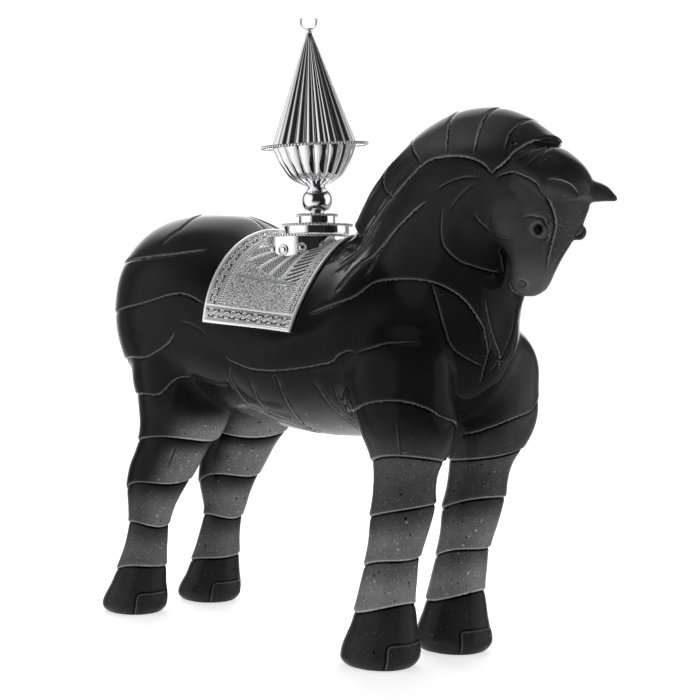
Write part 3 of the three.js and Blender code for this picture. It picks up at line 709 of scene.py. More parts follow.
def leg_joints(where, relief, joint, strength):
    """Adds the bands and toe plates to the fields of nearest_joint."""
    for kind, (_, bands) in LEGS.items():
        for side in SIDES:
            mine, bearing, apart, h = on_leg(where, kind, side)
            for band in bands:
                signed = (h - band_height(band, bearing)) * PART / MM
                power = in_reach(signed)
                relief[mine] += power * cut_profile(signed, BAND_CUT, BAND_LIP)
                take_nearer(joint, strength, mine, signed, power * BAND_CUT)
            signed = -to_toe_plate(bearing, apart, h)
            power = in_reach(signed) * np.clip(h / 6, 0, 1)
            relief[mine] += power * cut_profile(signed, TOE_CUT, TOE_LIP)
            take_nearer(joint, strength, mine, signed, power * TOE_CUT)
    return relief, joint, strength


# %% [markdown]
# Two small forms on the head are pressed out of the skin in the same way: the eyelid's
# rim round the eyeball and the hollow of the nostril.

# %% Small forms of the head
EYE = (667, 60, 777)
NOSTRIL = (613, 35, 685)


def away_from(where, place):
    """Distance in mm of every point from a place that is on both sides of the head."""
    s, out, h = where[:, 0], np.abs(where[:, 1]), where[:, 2]
    return np.sqrt((s - place[0]) ** 2 + (out - place[1]) ** 2 + (h - place[2]) ** 2) * PART / MM


def ring(distance, radius, width):
    """A bell of height 1 across the circle of this radius."""
    return np.exp(-((distance - radius) / width) ** 2)


def small_forms(where):
    """Relief in mm: the lid's rim and the crease round each eye, each nostril and its rim."""
    to_eye, to_nostril = away_from(where, EYE), away_from(where, NOSTRIL)
    relief = 0.5 * ring(to_eye, 4.4, 0.9) - 0.7 * ring(to_eye, 2.9, 0.7)
    return relief + 0.5 * ring(to_nostril, 3.2, 0.9) - 1.3 * ring(to_nostril, 0, 1.7)


# %% [markdown]
# The relief moves each vertex along its normal. The mesh is then thinned out where it is flat,
# so its faces are spent on the joints.

# %% Press the relief into the skin and thin the mesh out
FACE_BUDGET = 190_000
CALM_ROUNDS = 6                                    # averaging of the normals along which it moves

edges = read_edges(horse_skin)
horse_normals = read_normals(horse_skin)
for _ in range(CALM_ROUNDS):
    horse_normals = averaged(horse_normals, edges)
horse_normals /= np.linalg.norm(horse_normals, axis=1)[:, None]
where = to_parts(horse_points)
relief, _, _ = leg_joints(where, *nearest_joint(horse_points))
relief += small_forms(where)
relief = 0.5 * relief + 0.5 * averaged(relief[:, None], edges)[:, 0]
horse_points += relief[:, None] * horse_normals * MM
horse_points[:, 2] = np.maximum(horse_points[:, 2], 0)
print(f"relief from {relief.min():.2f} to {relief.max():.2f} mm")
horse_skin.vertices.foreach_set("co", horse_points.astype(np.float32).ravel())
horse_skin.update()

casting = thinned("horse_casting", horse_skin, FACE_BUDGET)
casting.polygons.foreach_set("use_smooth", np.ones(len(casting.polygons), bool))
print(f"the casting has {len(casting.polygons)} faces")

# %% [markdown]
# The glass is almost black where it is thick and smoky grey where it is thin: in the lower
# plates of the legs and under the belly. That grey is painted light: the light of the white
# floor and room, seen through the thin glass, is painted into its colour. Each plate is
# darkest right under its joint, a painted shade. This tone, the glass's own near black with
# the painted light added, is worked out per vertex and stored on the mesh, where the
# material reads it.

# %% Tone of the glass and painted light
# Grey of a plate at its lower and upper end, the glass's own tone with painted light, and how much painted
# light the leg's front edge adds to it
FRONT_TONE_AND_LIGHT = [(0.20, 0.18, 0.0), (0.47, 0.30, 0.0), (0.40, 0.21, 0.0), (0.26, 0.27, 0.0),
               (0.22, 0.22, 0.0)]
HIND_TONE_AND_LIGHT = [(0.20, 0.18, 0.0), (0.34, 0.20, 0.04), (0.27, 0.12, 0.14), (0.08, 0.07, 0.32),
              (0.09, 0.08, 0.36)]
LEG_TONE_AND_LIGHT = {"front": FRONT_TONE_AND_LIGHT, "hind": HIND_TONE_AND_LIGHT}
LEG_BLEND = 60                      # parts over which a leg's tone runs into the body's
# The lighter front edge of a leg is painted light.
FRONT_TURN = 0.25                   # radians by which the lighter front edge lies inward

points = read_points(casting)
where = to_parts(points)
s, l, h = where.T
_, joint, joint_strength = leg_joints(where, *nearest_joint(points))
joint_strength *= np.clip(2 - np.abs(joint) / 2.5, 0, 1)     # no line halfway between two joints

tone_and_painted_light = 0.085 + 0.03 * smoothstep(330, 20, s) + 0.03 * smoothstep(200, 330, s)
# Painted highlight: the top of the rump is painted lighter.
tone_and_painted_light += 0.06 * smoothstep(690, 770, h) * smoothstep(40, -60, s)                               # rump
tone_and_painted_light += 0.13 * smoothstep(20, 90, l) * smoothstep(360, 420, s) * smoothstep(620, 550, h)      # breast
tone_and_painted_light += 0.045 * smoothstep(700, 800, h) * (s > 200)                                           # neck
# Painted highlight: the top of the mane is painted lighter.
tone_and_painted_light += 0.13 * smoothstep(900, 940, h) * smoothstep(640, 540, s)                              # mane
head = smoothstep(560, 620, s) * smoothstep(890, 840, h) * smoothstep(600, 640, h)
tone_and_painted_light += (0.06 + 0.12 * smoothstep(760, 690, h)) * head
# Painted light: the glass under the belly is painted paler, the light of the white floor below seen through
# it.
belly = smoothstep(500, 410, h) * smoothstep(330, 270, s) * smoothstep(-110, -20, s)
tone_and_painted_light += 0.26 * belly
face = smoothstep(670, 700, s - 0.4 * (h - 790)) * smoothstep(840, 800, h) * (h > 600)
seeds = np.maximum(0.9 * belly, face)
# Painted light in the legs: each plate runs from a dark grey under its joint, a painted shade, to a paler
# grey further down, the light seen through the thin glass, and its front edge is painted lighter still.
for kind, (_, bands) in LEGS.items():
    top = LEG_TOP[kind]
    for side in SIDES:
        mine, bearing, apart, height = on_leg(where, kind, side)
        ends = [0 * bearing] + [band_height(band, bearing) for band in bands] + [0 * bearing + top]
        for (low_tone_and_light, high_tone_and_light, front), low, high in zip(LEG_TONE_AND_LIGHT[kind], ends[:-1], ends[1:]):
            inside = (height >= low) & (height < high)
            plate = mine[inside]
            u = ((height - low) / (high - low))[inside]
            grey = high_tone_and_light + (low_tone_and_light - high_tone_and_light) * smoothstep(1.0, 0.35, u)
            facing_front = smoothstep(0.0, 0.95, np.cos(bearing[inside] + FRONT_TURN))
            grey = grey + front * facing_front * smoothstep(1.05, 0.6, u)
            into = smoothstep(top, top - LEG_BLEND, height[inside])
            tone_and_painted_light[plate] = grey * into + tone_and_painted_light[plate] * (1 - into)
            seeds[plate] = np.maximum(seeds[plate], smoothstep(0.14, 0.3, grey) * into)

to_eye = away_from(where, EYE)
tone_and_painted_light *= 1 - 0.75 * smoothstep(3.2, 2.6, to_eye)
tone_and_painted_light += 0.12 * ring(to_eye, 4.2, 0.7)
for name, values in (("joint", joint), ("joint_strength", joint_strength), ("tone_and_painted_light", tone_and_painted_light), ("seeds", seeds)):
    store(casting, name, values)
print(f"tones from {tone_and_painted_light.min():.2f} to {tone_and_painted_light.max():.2f}")

horse = make_object("horse_casting", casting)
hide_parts("horse")
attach(horse, "root")

# %% [markdown]
# Shader maths reads better as formulas than as boxes. The first class below wraps one
# output socket of a node, so that adding or multiplying two of them makes the math node.

# %% Node maths


class Sock:
    """One value in a node tree, with the usual operators."""

    def __init__(self, tree, socket):
        self.tree, self.socket = tree, socket

    def math(self, operation, *others):
        node = self.tree.nodes.new("ShaderNodeMath")
        node.operation = operation
        for port, value in zip(node.inputs, (self, *others)):
            if isinstance(value, Sock):
                self.tree.links.new(value.socket, port)
            else:
                port.default_value = value
        return Sock(self.tree, node.outputs[0])

    def __add__(self, other):
        return self.math("ADD", other)

    def __sub__(self, other):
        return self.math("SUBTRACT", other)

    def __mul__(self, other):
        return self.math("MULTIPLY", other)

    def __truediv__(self, other):
        return self.math("DIVIDE", other)

    def __pow__(self, other):
        return self.math("POWER", other)

    def __rsub__(self, other):
        return (self * -1.0) + other

    __radd__ = __add__
    __rmul__ = __mul__

    def step(self, low, high):
        """0 below low, 1 above high, smooth between; low may be the larger one."""
        node = self.tree.nodes.new("ShaderNodeMapRange")
        node.interpolation_type = "SMOOTHSTEP"
        self.tree.links.new(self.socket, node.inputs["Value"])
        flip = low > high
        node.inputs["From Min"].default_value = high if flip else low
        node.inputs["From Max"].default_value = low if flip else high
        node.inputs["To Min"].default_value = 1.0 if flip else 0.0
        node.inputs["To Max"].default_value = 0.0 if flip else 1.0
        return Sock(self.tree, node.outputs["Result"])

    def __rtruediv__(self, other):
        node = self.tree.nodes.new("ShaderNodeMath")
        node.operation = "DIVIDE"
        node.inputs[0].default_value = other
        self.tree.links.new(self.socket, node.inputs[1])
        return Sock(self.tree, node.outputs[0])

    def hump(self, middle, width):
        """A bell of height 1 around `middle`: 1 / (1 + ((x - middle) / width) to the fourth)."""
        return 1 / (((self - middle) / width) ** 4.0 + 1.0)


class Nodes:
    """A node tree and a short way to add nodes to it."""

    def __init__(self, tree):
        self.tree = tree

    def node(self, kind, output, settings=None, **sockets):
        """Any node: its type, the output wanted, its settings and its input sockets."""
        node = self.tree.nodes.new(kind)
        for key, value in (settings or {}).items():
            setattr(node, key, value)
        for key, value in sockets.items():
            port = node.inputs[key.replace("_", " ")]
            if isinstance(value, Sock):
                self.tree.links.new(value.socket, port)
            else:
                port.default_value = value
        return None if output is None else Sock(self.tree, node.outputs[output])


class Look(Nodes):
    """A material with its Principled shader."""

    def __init__(self, name, **settings):
        self.material = bpy.data.materials.new(name)
        self.material.use_nodes = True
        super().__init__(self.material.node_tree)
        self.shader = self.tree.nodes["Principled BSDF"]
        for key, value in settings.items():
            self.shader.inputs[key.replace("_", " ")].default_value = value

    def attribute(self, name):
        """A float stored on the mesh."""
        return self.node("ShaderNodeAttribute", "Fac", {"attribute_name": name})

    def place(self):
        """The point itself in the object's own metres."""
        return self.node("ShaderNodeTexCoord", "Object")

    def grey(self, value):
        """A grey colour of this lightness."""
        return self.node("ShaderNodeCombineColor", "Color", Red=value, Green=value, Blue=value)

    def feed(self, key, value):
        """Links a value to a socket of the shader."""
        self.tree.links.new(value.socket, self.shader.inputs[key])

    def bump(self, height, distance):
        """A bump of `height` times `distance` metres in the shader's normal."""
        self.feed("Normal", self.node("ShaderNodeBump", "Normal", Height=height, Distance=distance))


# %% [markdown]
# Dark crystal: the stored tone, with the light painted into it, becomes the colour. Thin pale lines, a
# painted highlight, run along the upper lip of every joint, where light is caught inside the edge, with a
# dark line in the cut below.
# Seeds, the tiny bubbles of cast glass, are the cells of a Voronoi pattern whose distance
# from the middle is small. Only some cells have one, and more where the glass is pale.

# %% Crystal of the horse
SMALL_SEED, LARGE_SEED = 1.35 * MM, 3.6 * MM       # mean distance between seeds where all are there
DARKEST = 0.02                                     # no part of the glass is blacker
DISPLAY_GAMMA = 2.2                                # tones are as seen, colours are linear


def seed_cells(look, size, share):
    """1 inside seeds spaced about `size` metres apart, 0 elsewhere, and a random value."""
    settings = {"feature": "F1", "distance": "EUCLIDEAN"}
    cells = look.node("ShaderNodeTexVoronoi", "Distance", settings, Vector=look.place(), Scale=1 / size)
    colour = Sock(look.tree, cells.socket.node.outputs["Color"])
    lot = look.node("ShaderNodeSeparateColor", "Red", Color=colour)
    bright = Sock(look.tree, lot.socket.node.outputs["Green"])
    chosen = (share - lot).step(0.0, 0.05)
    return cells.step(0.30, 0.16) * chosen, bright


crystal = Look("dark_crystal", Roughness=0.07, IOR=1.5, Specular_IOR_Level=0.06)
glass_tone_and_light = crystal.attribute("tone_and_painted_light")
from_joint = crystal.attribute("joint")
strength = crystal.attribute("joint_strength")
seed_share = crystal.attribute("seeds")
small_seed, small_bright = seed_cells(crystal, SMALL_SEED, seed_share)
large_seed, large_bright = seed_cells(crystal, LARGE_SEED, seed_share * 0.45)
mottle = crystal.node("ShaderNodeTexNoise", "Fac", Vector=crystal.place(), Scale=90.0, Detail=3.0)

# Painted highlight: a pale line along the upper lip of each joint.
lip_line = from_joint.hump(0.55, 0.45) * strength
cut_line = from_joint.hump(-0.45, 0.6) * strength
seen = glass_tone_and_light * (0.86 + mottle * 0.28)
seen = seen + lip_line * 0.24 - cut_line * glass_tone_and_light * 0.85
seen = seen + small_seed * (small_bright - 0.38) * 0.85 * (glass_tone_and_light + 0.25)
seen = seen + large_seed * (large_bright - 0.50) * 0.9 * (glass_tone_and_light + 0.15)
# The base colour carries the tone's painted light and the painted highlights of the lips.
crystal.feed("Base Color", crystal.grey(seen.math("MAXIMUM", DARKEST) ** DISPLAY_GAMMA))
crystal.feed("Roughness", 0.06 + seed_share * 0.16 + small_seed * 0.1)
crystal.bump(small_seed * 0.5 + large_seed + mottle * 0.15, 0.2 * MM)
horse.data.materials.append(crystal.material)
print(f"the crystal is made of {len(crystal.tree.nodes)} nodes")

# %% [markdown]
# The silver cup is turned and chased work. A turned piece is a profile of radius and height
# carried round an axis, and flutes are that radius swelling and shrinking with the angle.
# The CAD boxes say where each piece stands. The bowl and all on it lean a little to the
# horse's right about the middle of the stem ball.

# %% Turned silver: helpers
BALL_RADIUS = 9.9
CUP_LEAN = math.radians(3.75)
SHARP_FROM = math.radians(35)                      # edges bent more than this are shaded sharp
ball_low, ball_high = (np.array(corner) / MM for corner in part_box("stem_ball"))
BALL_CENTRE = np.array([0, (ball_low[1] + ball_high[1]) / 2, ball_high[2] - BALL_RADIUS])


def turned(rows, count, wave=None):
    """Rows of (radius, height) in mm carried round the axis. `wave(angle, row)` gives the share
    of the radius. Rows and angles form a grid of points in mm."""
    angle = 2 * np.pi * np.arange(count) / count
    if wave is None:
        share = np.ones((len(rows), count))
    else:
        share = np.stack([wave(angle, i) for i in range(len(rows))])
    rows = np.asarray(rows, float)
    radius = rows[:, :1] * share
    height = np.broadcast_to(rows[:, 1:], radius.shape)
    return np.stack([radius * np.cos(angle), radius * np.sin(angle), height], -1)


def bead_ring(radius, height, size, count):
    """Small beads round the axis, each a seven-sided ball with few faces."""
    profile = [(size * math.cos(a), size * math.sin(a)) for a in (-1.2, -0.5, 0.2, 0.9)]
    ball = closed_grid(turned(profile, 7))
    parts = []
    for k in range(count):
        turn = 2 * math.pi * k / count
        parts.append(moved(ball, [radius * math.cos(turn), radius * math.sin(turn), height]))
    return joined(parts)


def ball_profile(radius, first, last, rows):
    """Rows of a ball's profile between two angles over its equator, in radians."""
    return [(radius * math.cos(a), radius * math.sin(a)) for a in np.linspace(first, last, rows)]


def fine_profile(rows, count):
    """A profile drawn through the given rows, smooth in between."""
    knots = np.column_stack([np.arange(len(rows)), rows])
    return sample(knots, np.linspace(0, len(rows) - 1, count))[:, 1:]


def joined(parts):
    """Several sets of points, quads and triangles as one."""
    offset, points, quads, triangles = 0, [], [], []
    for part_points, part_quads, part_triangles in parts:
        points.append(part_points)
        quads.append(part_quads + offset)
        triangles.append(part_triangles + offset)
        offset += len(part_points)
    return np.concatenate(points), np.concatenate(quads), np.concatenate(triangles)


def leaned(part):
    """Points measured from the ball's centre along the cup's axis, leaned and moved there."""
    points, quads, triangles = part
    c, s = math.cos(CUP_LEAN), math.sin(CUP_LEAN)
    x, y, z = points.T
    return np.stack([c * x - s * z, y, c * z + s * x], -1) + BALL_CENTRE, quads, triangles


def moved(part, shift):
    """Points moved by a shift in mm."""
    points, quads, triangles = part
    return points + shift, quads, triangles


def silver_piece(name, node, part, look):
    """A mesh object in metres that stands for a CAD node. Faces are turned to point out."""
    points, quads, triangles = part
    mesh = make_mesh(name, points * MM, quads, triangles)
    face_outward(mesh)
    mesh.set_sharp_from_angle(angle=SHARP_FROM)
    obj = make_object(name, mesh)
    mesh.materials.append(look.material)
    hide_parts(node)
    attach(obj, "root")
    print(f"{name}: {len(mesh.polygons)} faces")


# %% [markdown]
# Two plain materials serve all the turned pieces: silver whose polish varies a little, and
# clear glass for the ball on the tip.

# %% Silver and clear crystal
polished = Look("polished_silver", Base_Color=(0.90, 0.90, 0.91, 1.0), Metallic=1.0, Roughness=0.07)
tarnish = polished.node("ShaderNodeTexNoise", "Fac", Vector=polished.place(), Scale=120.0, Detail=4.0)
polished.feed("Roughness", 0.04 + tarnish * 0.08)
clear = Look("clear_crystal", Base_Color=(1.0, 1.0, 1.0, 1.0), Roughness=0.0, IOR=1.45,
             Transmission_Weight=1.0)
print("materials:", polished.material.name, clear.material.name)

# %% [markdown]
# The bowl has sixteen lobes that run out into a flat rim with a beaded edge. Outside and
# inside are one surface, so the wall has its true thickness right up to the rim.

# %% Bowl
BOWL_TOP, BOWL_WALL, BOWL_LOBES = 35.2, 1.2, 16    # mm over the ball's centre, mm, count
LOBE_DEPTH = 0.085                                 # share of the radius
BOWL_PROFILE = [(5.6, -26.9), (6.5, -26.4), (9.6, -25.0), (13.4, -23.0), (16.2, -21.0), (18.4, -18.6),
                (20.9, -14.7), (22.9, -11.4), (24.6, -7.9), (26.0, -4.4), (27.3, -1.4)]
RIM_PROFILE = [(28.6, -1.1), (31.4, -1.3), (33.6, -1.2), (34.0, -0.7), (33.6, -0.1), (31.4, -0.1),
               (28.0, -0.2)]

outside = fine_profile(BOWL_PROFILE, 48)
inside = outside[::-1].copy()
inside[:, 0] = np.maximum(inside[:, 0] - BOWL_WALL, 0.5)
inside[:, 1] = np.minimum(inside[:, 1] + BOWL_WALL, -0.3)
bowl_rows = np.concatenate([outside, RIM_PROFILE, inside])


def bowl_wave(angle, row):
    """Rounded lobes that fade out at the foot and on the rim."""
    radius = bowl_rows[row, 0]
    deep = LOBE_DEPTH * smoothstep(6.0, 12.0, radius) * smoothstep(29.5, 26.0, radius)
    return 1 + deep * (np.abs(np.sin(BOWL_LOBES / 2 * angle)) ** 0.6 - 1)


bowl = joined([closed_grid(turned(bowl_rows, 384, bowl_wave)), bead_ring(33.5, -0.6, 1.1, 96)])
silver_piece("bowl_chased", "bowl", leaned(moved(bowl, [0, 0, BOWL_TOP])), polished)

# %% [markdown]
# The lid is a sheet cone pressed into flutes, with a scalloped lower edge and a collar that
# holds the crystal ball. It is hollow too: the inner cone is the same grid, one wall deeper.

# %% Cone lid
LID_RADIUS, LID_TIP, LID_HEIGHT, LID_FLUTES = 27.3, 1.6, 71.5, 22    # mm, mm, mm, count
LID_GAP = 0.3                                      # mm from the bowl's top to the lid's edge
LID_WALL, LID_SOLID = 1.0, 5.0                     # mm: wall, and the solid tip under the moulding
FLUTE_DEPTH, FLUTE_FADE = 0.10, 12                 # share of the radius, mm below the tip
LID_BALL, BALL_SEAT = 6.0, 2.2                     # mm: radius, and height of its seat on the tip
TIP_PROFILE = [(1.2, -0.8), (2.2, -0.4), (2.5, 0.4), (1.9, 0.9), (2.6, 1.5), (3.1, 2.2), (2.9, 2.6),
               (1.0, 1.6)]
lid_base = BOWL_TOP + LID_GAP
lid_slope = (LID_RADIUS - LID_TIP) / LID_HEIGHT
outer_heights = np.linspace(0, LID_HEIGHT, 40)
inner_heights = np.linspace(LID_HEIGHT - LID_SOLID, 0, 20)
lid_rows = [(LID_RADIUS - lid_slope * z - LID_WALL, z) for z in inner_heights]
lid_rows += [(LID_RADIUS - lid_slope * z, z) for z in outer_heights]


def lid_wave(angle, row):
    """Flutes of sheet metal: narrow valleys between broad rounded ridges."""
    height = lid_rows[row][1]
    ridge = np.abs(np.sin(LID_FLUTES / 2 * angle)) ** 0.8
    return 1 + FLUTE_DEPTH * (ridge - 1) * smoothstep(LID_HEIGHT + 1, LID_HEIGHT - FLUTE_FADE, height)


tip = joined([closed_grid(turned(fine_profile(TIP_PROFILE, 40), 40)), bead_ring(2.7, 2.1, 0.45, 16)])
lid = joined([closed_grid(turned(lid_rows, 440, lid_wave)), moved(tip, [0, 0, LID_HEIGHT])])
silver_piece("cone_lid_fluted", "cone_lid", leaned(moved(lid, [0, 0, lid_base])), polished)

ball = closed_grid(turned(ball_profile(LID_BALL, -1.53, 1.53, 48), 96))
ball_height = lid_base + LID_HEIGHT + BALL_SEAT + 0.86 * LID_BALL
silver_piece("lid_ball_clear", "lid_ball", leaned(moved(ball, [0, 0, ball_height])), clear)

# %% [markdown]
# Stem ball, two drums with beaded rims and the collar with its buttons are turned in the
# same way. Every rim carries a row of beads, small enough to need only a few faces each.

# %% Stem ball and tiers
STEM_FOOT = [(4.6, -8.75), (5.0, -8.9), (5.2, -8.6), (4.9, -8.4)]
stem = closed_grid(turned(STEM_FOOT + ball_profile(BALL_RADIUS, -1.09, 1.5, 60)[1:], 96))
silver_piece("stem_ball_polished", "stem_ball", moved(stem, BALL_CENTRE), polished)


def tier(node, drum, rim, beads):
    """A drum with a thin beaded plate on top and a small moulding at its foot."""
    low, high = (np.array(corner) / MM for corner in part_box(node))
    height = high[2] - low[2]
    rows = [(drum * 0.2, 0), (drum + 0.4, 0), (drum + 0.5, 0.3), (drum + 0.4, 0.6), (drum, 0.7), (drum, 0.9),
            (drum, height - 1.5), (drum, height - 1.3), (rim - 0.9, height - 1.1), (rim - 0.7, height - 0.9),
            (rim - 0.5, height - 0.6), (rim - 0.7, height - 0.2), (drum, height - 0.1), (drum * 0.2, height)]
    centre = [0, (low[1] + high[1]) / 2, low[2]]
    part = joined([closed_grid(turned(rows, 160)), bead_ring(rim - 0.75, height - 0.65, 0.95, beads)])
    silver_piece(node + "_turned", node, moved(part, centre), polished)


tier("lower_tier", 21.1, 22.9, 66)
tier("upper_tier", 12.0, 13.4, 38)

# %% [markdown]
# The collar's wall goes on down into the back, so it meets the cloth wherever that lies. The
# buttons are small turned pieces laid on their backs against the wall.

# %% Collar with buttons
COLLAR_WALL, COLLAR_S = 26.4, 45                   # radius in mm, and s of its axis
COLLAR_DEPTH = 20.0
COLLAR_TOP = [(5.0, -0.2), (24.0, 0.0), (26.3, 0.0), (26.9, -0.4), (26.7, -1.0), (26.4, -1.4)]
BUTTONS = [(108, 1.0, 10.0), (82, 1.0, 10.0), (54, 0.88, 8.8), (24, 0.66, 7.2)]   # degrees, size, drop
BUTTON_PROFILE = [(3.7, -0.4), (3.75, 0.4), (3.3, 0.85), (2.8, 0.55), (2.5, 0.15), (2.2, 0.5),
                  (1.5, 1.05), (0.3, 1.25)]
collar_high = np.array(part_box("saddle_collar")[1]) / MM
collar_centre = np.array([0, to_row([COLLAR_S, 0, 0])[1] / MM, collar_high[2]])


def button(degrees, size, drop):
    """A ring with a dome on the collar's wall, at an angle from the wall's front."""
    points, quads, triangles = closed_grid(turned(fine_profile(BUTTON_PROFILE, 30) * size, 32))
    turn = math.radians(degrees) - math.pi / 2
    out = np.array([math.cos(turn), math.sin(turn), 0])
    along = np.array([-math.sin(turn), math.cos(turn), 0])
    x, y, z = points.T[:, :, None]
    placed = x * along + y * [0, 0, 1] + (z + COLLAR_WALL) * out
    return placed + [0, 0, -drop], quads, triangles


wall_rows = [(COLLAR_WALL, z) for z in np.linspace(-1.8, -COLLAR_DEPTH, 24)]
collar_rows = COLLAR_TOP + wall_rows + [(5.0, -COLLAR_DEPTH)]
collar_parts = [closed_grid(turned(collar_rows, 200)), bead_ring(26.6, -0.7, 0.95, 80)]
collar_parts += [button(side * degrees, size, drop) for side in SIDES for degrees, size, drop in BUTTONS]
collar = moved(joined(collar_parts), collar_centre)
silver_piece("saddle_collar_turned", "saddle_collar", collar, polished)

# %% [markdown]
# The saddle cloth is sheet silver, bent over the back and chased all over. Its surface is the
# horse's own section a little larger, so it fits. It becomes a grid of rows from the rear edge
# to the front one, each running from the lower edge of one side to that of the other.

# %% Sheet of the saddle cloth
CLOTH_REAR, CLOTH_FRONT = -52, (200, 176)      # s of the edges, the front one at the bottom and on top
CLOTH_BOTTOM = (617, 600)                      # h of the lower edge at the rear and at the front
CLOTH_TOP = 782                                # h at which the front edge reaches its upper s
CLOTH_GAP, CLOTH_THICK = 0.3, 1.6              # mm
CLOTH_UNDERCUT = 0.2                           # mm by which the chased ground lies under the face
ALONG, AROUND = 220, 470


def signed_power(value, power):
    """The value's size to a power, with the value's sign."""
    return np.sign(value) * np.abs(value) ** power


def cloth_grid(offset):
    """Points in mm of a surface `offset` mm over the back, and the arc length at each column."""
    points, arcs = [], []
    angle = np.linspace(-0.9, np.pi + 0.9, 1500)
    for share in np.linspace(0, 1, ALONG):
        s_low = CLOTH_REAR + share * (CLOTH_FRONT[0] - CLOTH_REAR)
        s_top = CLOTH_REAR + share * (CLOTH_FRONT[1] - CLOTH_REAR)
        bottom = CLOTH_BOTTOM[0] + share * (CLOTH_BOTTOM[1] - CLOTH_BOTTOM[0])
        s = np.full(len(angle), (s_low + s_top) / 2)
        for _ in range(2):
            row = sample(TORSO, s)
            reach = (row[:, 1] - row[:, 2]) / 2 + offset * MM / PART
            half = row[:, 3] + offset * MM / PART
            power = 2 / row[:, 4]
            h = (row[:, 1] + row[:, 2]) / 2 + reach * signed_power(np.sin(angle), power)
            s = s_low + (s_top - s_low) * np.clip((h - bottom) / (CLOTH_TOP - bottom), 0, 1.1)
        out = half * signed_power(np.cos(angle), power) * (1 - row[:, 5] * np.sin(angle))
        kept = h >= bottom
        line = to_row(np.stack([s, out, h], -1)[kept]) / MM
        run = np.concatenate([[0], np.cumsum(np.linalg.norm(np.diff(line, axis=0), axis=1))])
        even = np.linspace(0, run[-1], AROUND)
        points.append(np.stack([np.interp(even, run, line[:, c]) for c in range(3)], -1))
        arcs.append(even)
    return np.array(points), np.array(arcs)


outer, arc = cloth_grid(CLOTH_GAP + CLOTH_THICK - CLOTH_UNDERCUT)
inner, _ = cloth_grid(CLOTH_GAP)
v = np.minimum(arc, arc[:, -1:] - arc)                       # mm from the lower edge up over the side
row_steps = np.linalg.norm(np.diff(outer, axis=0), axis=2)
u = np.concatenate([np.zeros((1, AROUND)), np.cumsum(row_steps, axis=0)])   # mm from the rear edge
w = u[-1] - u                                                # mm from the front edge
edge = np.minimum(np.minimum(u, w), v)
print(f"the cloth is {u.max():.1f} mm by {arc.max():.1f} mm")

# %% [markdown]
# Distances from the four edges, in mm, lay out the traditional pattern: rolled edge, scroll
# borders, ladder bands, feathers, chevrons and a ground of close curls. Each is a short
# formula for the height of the metal, from 0 in the cuts to 1.

# %% Formulas of the chasing


def between(value, low, high, soft=0.25):
    """1 where value lies between low and high, with soft ends."""
    return smoothstep(low - soft, low + soft, value) * smoothstep(high + soft, high - soft, value)


def stripes(value, pitch, sharp=1.0):
    """A wave from 0 to 1 across lines `pitch` apart, with narrower crests the sharper it is."""
    return (0.5 + 0.5 * np.cos(2 * np.pi * value / pitch)) ** sharp


def leaves(along, across, pitch, reach):
    """A running vine: a wavy stem, a curl in each bend and veins beside them."""
    turn = np.floor(along / pitch)
    x = along - (turn + 0.5) * pitch
    y = across * np.where(turn % 2 == 0, 1, -1)
    stem = np.exp(-((across - 0.35 * reach * np.sin(np.pi * along / pitch)) / 0.34) ** 2)
    angle = np.arctan2(y + 0.2 * reach, x)
    away = np.hypot(x, y + 0.2 * reach)
    spiral = np.exp(-((((away - 0.22 * angle) % 1.35) - 0.67) / 0.30) ** 2)
    spiral *= smoothstep(0.62 * reach, 0.5 * reach, away)
    veins = stripes(along + 0.9 * np.abs(across), 1.25, 1.5)
    veins *= smoothstep(0.45 * reach, 0.75 * reach, np.abs(across))
    return (stem + spiral + 0.85 * veins).clip(0, 1)


def scroll_border(across, along, band, middle, pitch, reach):
    """Where a border with a running vine lies, and its height."""
    return between(across, *band), 0.05 + 0.50 * leaves(along, across - middle, pitch, reach)


def ladder_border(across, along, band, rungs, pitch):
    """Where a border of short rungs lies, and its height."""
    return between(across, *band), 0.08 + 0.42 * stripes(along, pitch) * between(across, *rungs)


def double_line(across, middle, low, high):
    """Where two raised lines at equal distances from a middle lie, and their height."""
    return between(np.abs(across - middle), low, high, 0.2), 0.5


def ground(x, y):
    """Close curled chisel marks: two crossing waves bent by slower ones."""
    bend_x = x + 1.2 * np.sin(0.9 * y + 1.4 * np.sin(0.53 * x)) + 0.5 * np.sin(2.9 * y)
    bend_y = y + 1.2 * np.sin(1.0 * x + 1.3 * np.sin(0.61 * y)) + 0.5 * np.sin(2.7 * x)
    marks = 1.5 * stripes(bend_x, 1.6) * stripes(bend_y, 1.5) + 0.55 * stripes(bend_x - bend_y, 2.1)
    return marks.clip(0, 1)


# %% [markdown]
# The patterns are laid over the ground one after the other. Feathers fan out from a point
# under the collar, with slanting barbs between their shafts, and chevrons lie in front of
# them. A line with dots parts them from the field below, and borders run along all edges.

# %% Layout of the chasing
FAN_U, FAN_V = 52.0, 92.0                          # mm: the point from which the feathers fan out
FEATHER = 0.22                                     # radians from shaft to shaft
LINE_LOW, LINE_HIGH = 33.0, 36.0                   # mm: v of the line with dots

fan_r = np.hypot(u - FAN_U, v - FAN_V)
fan_a = np.arctan2(u - FAN_U, FAN_V - v)
barbs = stripes(fan_r + 11 * np.abs(((fan_a / FEATHER) % 1) - 0.5), 2.2)
feathers = 0.04 + 0.28 * barbs + 0.6 * stripes(fan_a, FEATHER, 9)
feather_mask = between(fan_a, -0.95, 0.02, 0.02) * between(fan_r, 18, 54, 0.5) * (v > LINE_LOW)
chevrons = stripes(v - 0.55 * u, 4.2, 1.2) * (0.35 + 0.65 * stripes(u + 0.5 * v, 2.0))
chevron_mask = between(fan_a, 0.05, 1.2, 0.02) * between(v, LINE_HIGH, 200, 0.4)
line_middle = (LINE_LOW + LINE_HIGH) / 2
dots = 0.4 * stripes(u, 1.5) * between(v, LINE_LOW + 0.8, LINE_HIGH - 0.8)
line = 0.05 + dots + 0.35 * between(np.abs(v - line_middle), 1.1, 1.5, 0.15)
roll = 0.2 + 0.55 * np.sqrt(np.clip(1 - ((edge - 1.1) / 1.15) ** 2, 0, 1))

